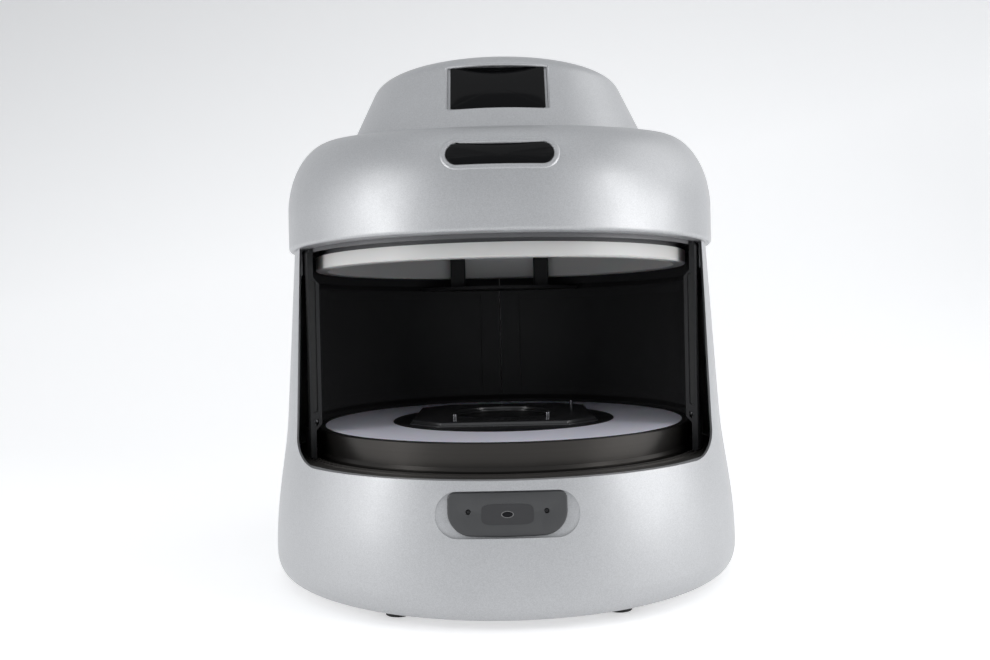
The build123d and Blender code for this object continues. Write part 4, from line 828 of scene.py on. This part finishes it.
# rolled rims: the rounded edges of the badge recesses, in the paint of their shells
rimShape = {"sides": 14, "spacing": 0.0016}
rolledRims = {
    "canopyBadgeRim": {"node": "canopy_badge", "shell": "canopy_shell", "radius": 0.0026,
                       "sink": 0.0019, "sideGap": 0.0024, "riseGap": 0.0024},
    "domeBadgeRim": {"node": "dome_badge", "shell": "dome_cover", "radius": 0.0013,
                     "sink": 0.0004, "sideGap": 0.0030, "riseGap": 0.0011},
}
castStart = 0.4  # rays start this far out, in front of or behind the whole part


def rolledRim(name, values):
    source = mergedCopy(values["node"])
    axis = facingNormal(source.verts, (0, -1, 0))
    loop = evenPoints(frontOutline(source, axis), rimShape["spacing"])
    source.free()
    middle = sum(loop, Vector()) / len(loop)
    halfSide = max(abs(point.x - middle.x) for point in loop)
    halfRise = max(abs(point.z - middle.z) for point in loop)
    surface = castOn(values["shell"])
    path = []
    for point in loop:
        x = middle.x + (point.x - middle.x) * (halfSide + values["sideGap"]) / halfSide
        z = middle.z + (point.z - middle.z) * (halfRise + values["riseGap"]) / halfRise
        hit, normal, _, _ = surface.ray_cast(Vector((x, -castStart, z)), Vector((0, 1, 0)))
        path.append((hit - normal * values["sink"], normal))
    rows = []
    count = len(path)
    for i in range(count):
        spot, normal = path[i]
        along = (path[(i + 1) % count][0] - path[i - 1][0]).normalized()
        across = along.cross(normal).normalized()
        lift = across.cross(along)
        turns = [2 * pi * k / rimShape["sides"] for k in range(rimShape["sides"])]
        rows.append([spot + (across * cos(turn) + lift * sin(turn)) * values["radius"] for turn in turns])
    shape = bmesh.new()
    skinLoops(shape, rows + rows[:1], capped=False)
    linkPiece(name, meshFrom(shape, name, ["silverPaint"], 80.0), "root")


for name, values in rolledRims.items():
    rolledRim(name, values)
print("rolled rims made")

# front plate: smoked window and pressed bezel round the status lens
windowShape = {"width": 0.0345, "height": 0.0135, "power": 5.0, "thickness": 0.00012, "steps": 64}
bezelShape = {"width": 0.0006, "height": 0.00025, "steps": 48, "sides": 8}
lensPower = 2.0  # the lens is an ellipse; a higher power squares an outline up


def plateFrame():
    # the middle of the lens on the plate's front, and the plate's outward axis
    lens = mergedCopy("status_lens")
    plate = mergedCopy("front_plate")
    axis = facingNormal(plate.verts, (0, -1, 0))
    level = max(vertex.co.dot(axis) for vertex in plate.verts)
    low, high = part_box("status_lens")
    middle = (Vector(low) + Vector(high)) / 2
    middle += axis * (level - middle.dot(axis))
    rise = axis.cross(Vector((1, 0, 0)))
    halfSize = ((high[0] - low[0]) / 2, max(abs((vertex.co - middle).dot(rise)) for vertex in lens.verts))
    lens.free()
    plate.free()
    return middle, axis, halfSize


lensMiddle, plateAxis, lensHalf = plateFrame()
plateUp = plateAxis.cross(Vector((1, 0, 0))).normalized()


def superLoop(halfWidth, halfHeight, power, steps, level):
    # a rounded rectangle or ellipse on the plate, by its power
    points = []
    for step in range(steps):
        angle = 2 * pi * step / steps
        across = abs(cos(angle)) ** (2 / power) * (1 if cos(angle) >= 0 else -1)
        up = abs(sin(angle)) ** (2 / power) * (1 if sin(angle) >= 0 else -1)
        flat = Vector((1, 0, 0)) * halfWidth * across + plateUp * halfHeight * up
        points.append(lensMiddle + flat + plateAxis * level)
    return points


def smokedWindow():
    gap = bezelShape["width"] / 2
    half = windowShape["thickness"]
    outer = (windowShape["width"] / 2, windowShape["height"] / 2, windowShape["power"])
    inner = (lensHalf[0] + gap, lensHalf[1] + gap, lensPower)
    section = ((inner, -half), (inner, half), (outer, half), (outer, -half))
    rows = [superLoop(*outline, windowShape["steps"], level) for outline, level in section]
    shape = bmesh.new()
    skinLoops(shape, rows + rows[:1], capped=False)
    linkPiece("smokedWindow", meshFrom(shape, "smokedWindow", ["smokedWindow"]), "root")


def lensBezel():
    gap = bezelShape["width"] / 2
    rows = []
    for side in range(bezelShape["sides"] + 1):
        turn = pi * side / bezelShape["sides"]
        swell = bezelShape["width"] / 2 * (1 + cos(turn))
        halfSize = (lensHalf[0] - gap / 2 + swell, lensHalf[1] - gap / 2 + swell)
        rows.append(superLoop(*halfSize, lensPower, bezelShape["steps"], bezelShape["height"] * sin(turn)))
    shape = bmesh.new()
    skinLoops(shape, rows + rows[:1], capped=False)
    linkPiece("lensBezel", meshFrom(shape, "lensBezel", ["bezelGrey"]), "root")


smokedWindow()
lensBezel()
print("window and bezel made")

# rocker marks: a bar and a ring printed on the switch
markShape = {"barWidth": 0.0008, "barLength": 0.0032, "ringRadius": 0.0017, "ringWidth": 0.0006,
             "ringSteps": 32, "thickness": 0.00008, "place": 0.0042}


def barRows(spot, across, up, normal):
    half = markShape["barWidth"] / 2
    tall = markShape["barLength"] / 2
    corners = ((-half, -tall), (half, -tall), (half, tall), (-half, tall))
    rows = []
    for level in (-markShape["thickness"], markShape["thickness"]):
        rows.append([spot + across * x + up * z + normal * level for x, z in corners])
    return rows


def ringRows(spot, across, up, normal):
    outer = markShape["ringRadius"]
    inner = outer - markShape["ringWidth"]
    thickness = markShape["thickness"]
    turns = [2 * pi * k / markShape["ringSteps"] for k in range(markShape["ringSteps"])]
    rows = []
    for radius, level in ((outer, -thickness), (inner, -thickness), (inner, thickness), (outer, thickness)):
        middle = spot + normal * level
        rows.append([middle + across * radius * cos(turn) + up * radius * sin(turn) for turn in turns])
    return rows


def rockerMarks():
    surface = castOn("switch_rocker")
    low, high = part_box("switch_rocker")
    middle = (Vector(low) + Vector(high)) / 2
    shape = bmesh.new()
    for side in (1, -1):
        start = Vector((middle.x, castStart, middle.z + side * markShape["place"]))
        hit, normal, _, _ = surface.ray_cast(start, Vector((0, -1, 0)))
        across = Vector((1, 0, 0))
        up = normal.cross(across).normalized()
        if side == 1:
            skinLoops(shape, barRows(hit, across, up, normal))
        else:
            rows = ringRows(hit, across, up, normal)
            skinLoops(shape, rows + rows[:1], capped=False)
    linkPiece("rockerMarks", meshFrom(shape, "rockerMarks", ["markWhite"]), "switch_rocker")


rockerMarks()
print("rocker marks made")

# floor, backdrop and light
stageSet = {
    "floorSize": 6.0,
    "floorColour": (0.93, 0.93, 0.935),
    "sweepRadius": 1.7,
    "sweepDistance": 0.7,
    "backdropHeight": 3.4,
    "paperGlow": 0.41,
    "sweepSteps": 12,
    "grainScale": 30.0,
    "roughness": 0.75,
    # painted shade: the paper's colour and glow darken upwards and to the left
    "paintedShade": {"along": (-0.25, 0.0, 1.0), "between": (0.55, 1.9), "shade": 0.72},
}


def sweepPaperMaterial(values):
    # paper that the camera, mirrors and glass see a little brighter than it lights the part
    material, tree, shader = startMaterial("sweepPaper")
    paintedShade = values["paintedShade"]
    colour = values["floorColour"]
    white = (1.0, 1.0, 1.0)
    grain = noiseField(tree, objectPoint(tree), values["grainScale"], detail=3.0)
    heights = addNode(tree, "ShaderNodeVectorMath", operation="DOT_PRODUCT")
    tree.links.new(objectPoint(tree), heights.inputs[0])
    heights.inputs[1].default_value = paintedShade["along"]
    # painted shade: colour and glow are darkened upwards and to the left
    paintedShadeMask = spread(tree, heights.outputs["Value"], 0.0, 1.0, *paintedShade["between"])
    shadedTone = blendColours(tree, paintedShadeMask, colour, shade(paintedShade["shade"], colour))
    fibres = blendColours(tree, grain, shade(0.99, white), white)
    tree.links.new(multiplyColours(tree, shadedTone, fibres), shader.inputs["Base Color"])
    shadedGlowTone = blendColours(tree, paintedShadeMask, white, shade(paintedShade["shade"], white))
    tree.links.new(shadedGlowTone, shader.inputs["Emission Color"])
    setShader(shader, Roughness=values["roughness"])
    seen = addNode(tree, "ShaderNodeLightPath")
    either = mathNode(tree, "MAXIMUM", seen.outputs["Is Camera Ray"], seen.outputs["Is Glossy Ray"])
    anyOf = mathNode(tree, "MAXIMUM", either, seen.outputs["Is Transmission Ray"])
    glow = spread(tree, anyOf, 0.0, values["paperGlow"], 0.0, 1.0)
    tree.links.new(glow, shader.inputs["Emission Strength"])
    return material


def sweepProfile(values):
    # the floor runs back, turns up round a quarter circle and rises as the backdrop
    reach = values["sweepDistance"]
    radius = values["sweepRadius"]
    profile = [(-values["floorSize"] / 2, 0.0), (reach, 0.0)]
    for step in range(1, values["sweepSteps"] + 1):
        angle = radians(90 * step / values["sweepSteps"])
        profile.append((reach + radius * sin(angle), radius * (1 - cos(angle))))
    profile.append((reach + radius, values["backdropHeight"]))
    return profile


def studioSweep(values):
    half = values["floorSize"] / 2
    shape = bmesh.new()
    rows = [[shape.verts.new((x, y, z)) for x in (-half, half)] for y, z in sweepProfile(values)]
    for low, high in zip(rows, rows[1:]):
        shape.faces.new((low[0], low[1], high[1], high[0]))
    mesh = bpy.data.meshes.new("studioSweep")
    shape.to_mesh(mesh)
    shape.free()
    mesh.polygons.foreach_set("use_smooth", [True] * len(mesh.polygons))
    mesh.materials.append(sweepPaperMaterial(values))
    sweep = bpy.data.objects.new("studioSweep", mesh)
    bpy.context.scene.collection.objects.link(sweep)


studioSweep(stageSet)

softLights = {
    "leftBank": {"place": (-1.25, -0.75, 0.60), "aim": (0.0, 0.0, 0.22),
                 "size": (0.45, 1.1), "watts": 7.0},
    "rightBank": {"place": (1.25, -0.75, 0.60), "aim": (0.0, 0.0, 0.22),
                  "size": (0.45, 1.1), "watts": 6.2},
    "leftSide": {"place": (-1.6, -0.3, 0.35), "aim": (0.0, 0.0, 0.20),
                 "size": (0.7, 0.7), "watts": 1.7},
    "rightSide": {"place": (1.6, -0.3, 0.35), "aim": (0.0, 0.0, 0.20),
                  "size": (0.7, 0.7), "watts": 4.2},
    "rightRear": {"place": (1.4, 0.3, 1.25), "aim": (0.0, 0.0, 0.25),
                  "size": (1.0, 1.0), "watts": 3.3},
    "topSoft": {"place": (0.0, -0.3, 1.8), "aim": (0.0, 0.0, 0.25),
                "size": (1.4, 1.0), "watts": 1.9},
    "frontFill": {"place": (0.0, -2.2, 0.55), "aim": (0.0, 0.0, 0.22),
                  "size": (1.4, 0.7), "watts": 0.9},
}
for name, values in softLights.items():
    data = bpy.data.lights.new(name, "AREA")
    data.shape = "RECTANGLE"
    data.size, data.size_y = values["size"]
    data.energy = values["watts"]
    lamp = bpy.data.objects.new(name, data)
    lamp.location = values["place"]
    aim = Vector(values["aim"]) - Vector(values["place"])
    lamp.rotation_mode = "QUATERNION"
    lamp.rotation_quaternion = aim.to_track_quat("-Z", "Y")
    bpy.context.scene.collection.objects.link(lamp)

skyLook = {"colour": (0.93, 0.96, 1.0), "strength": 0.46}
world = bpy.data.worlds.new("studioWorld")
world.use_nodes = True
bpy.context.scene.world = world
sky = world.node_tree.nodes["Background"]
sky.inputs["Color"].default_value = (*skyLook["colour"], 1.0)
sky.inputs["Strength"].default_value = skyLook["strength"]

# camera, level with the open front
cameraView = {"place": (-0.0057, -0.757, 0.205), "pitchDown": 0.619, "roll": -1.215,
              "lens": 31.67, "sensor": 36.0}
cameraData = bpy.data.cameras.new("benchCamera")
cameraData.lens = cameraView["lens"]
cameraData.sensor_width = cameraView["sensor"]
benchCamera = bpy.data.objects.new("benchCamera", cameraData)
tilt = Matrix.Rotation(radians(90 - cameraView["pitchDown"]), 4, "X")
roll = Matrix.Rotation(radians(cameraView["roll"]), 4, "Z")
benchCamera.matrix_world = Matrix.Translation(cameraView["place"]) @ tilt @ roll
bpy.context.scene.collection.objects.link(benchCamera)
bpy.context.scene.camera = benchCamera
bpy.context.scene.view_settings.view_transform = "Standard"
print("studio and camera set")
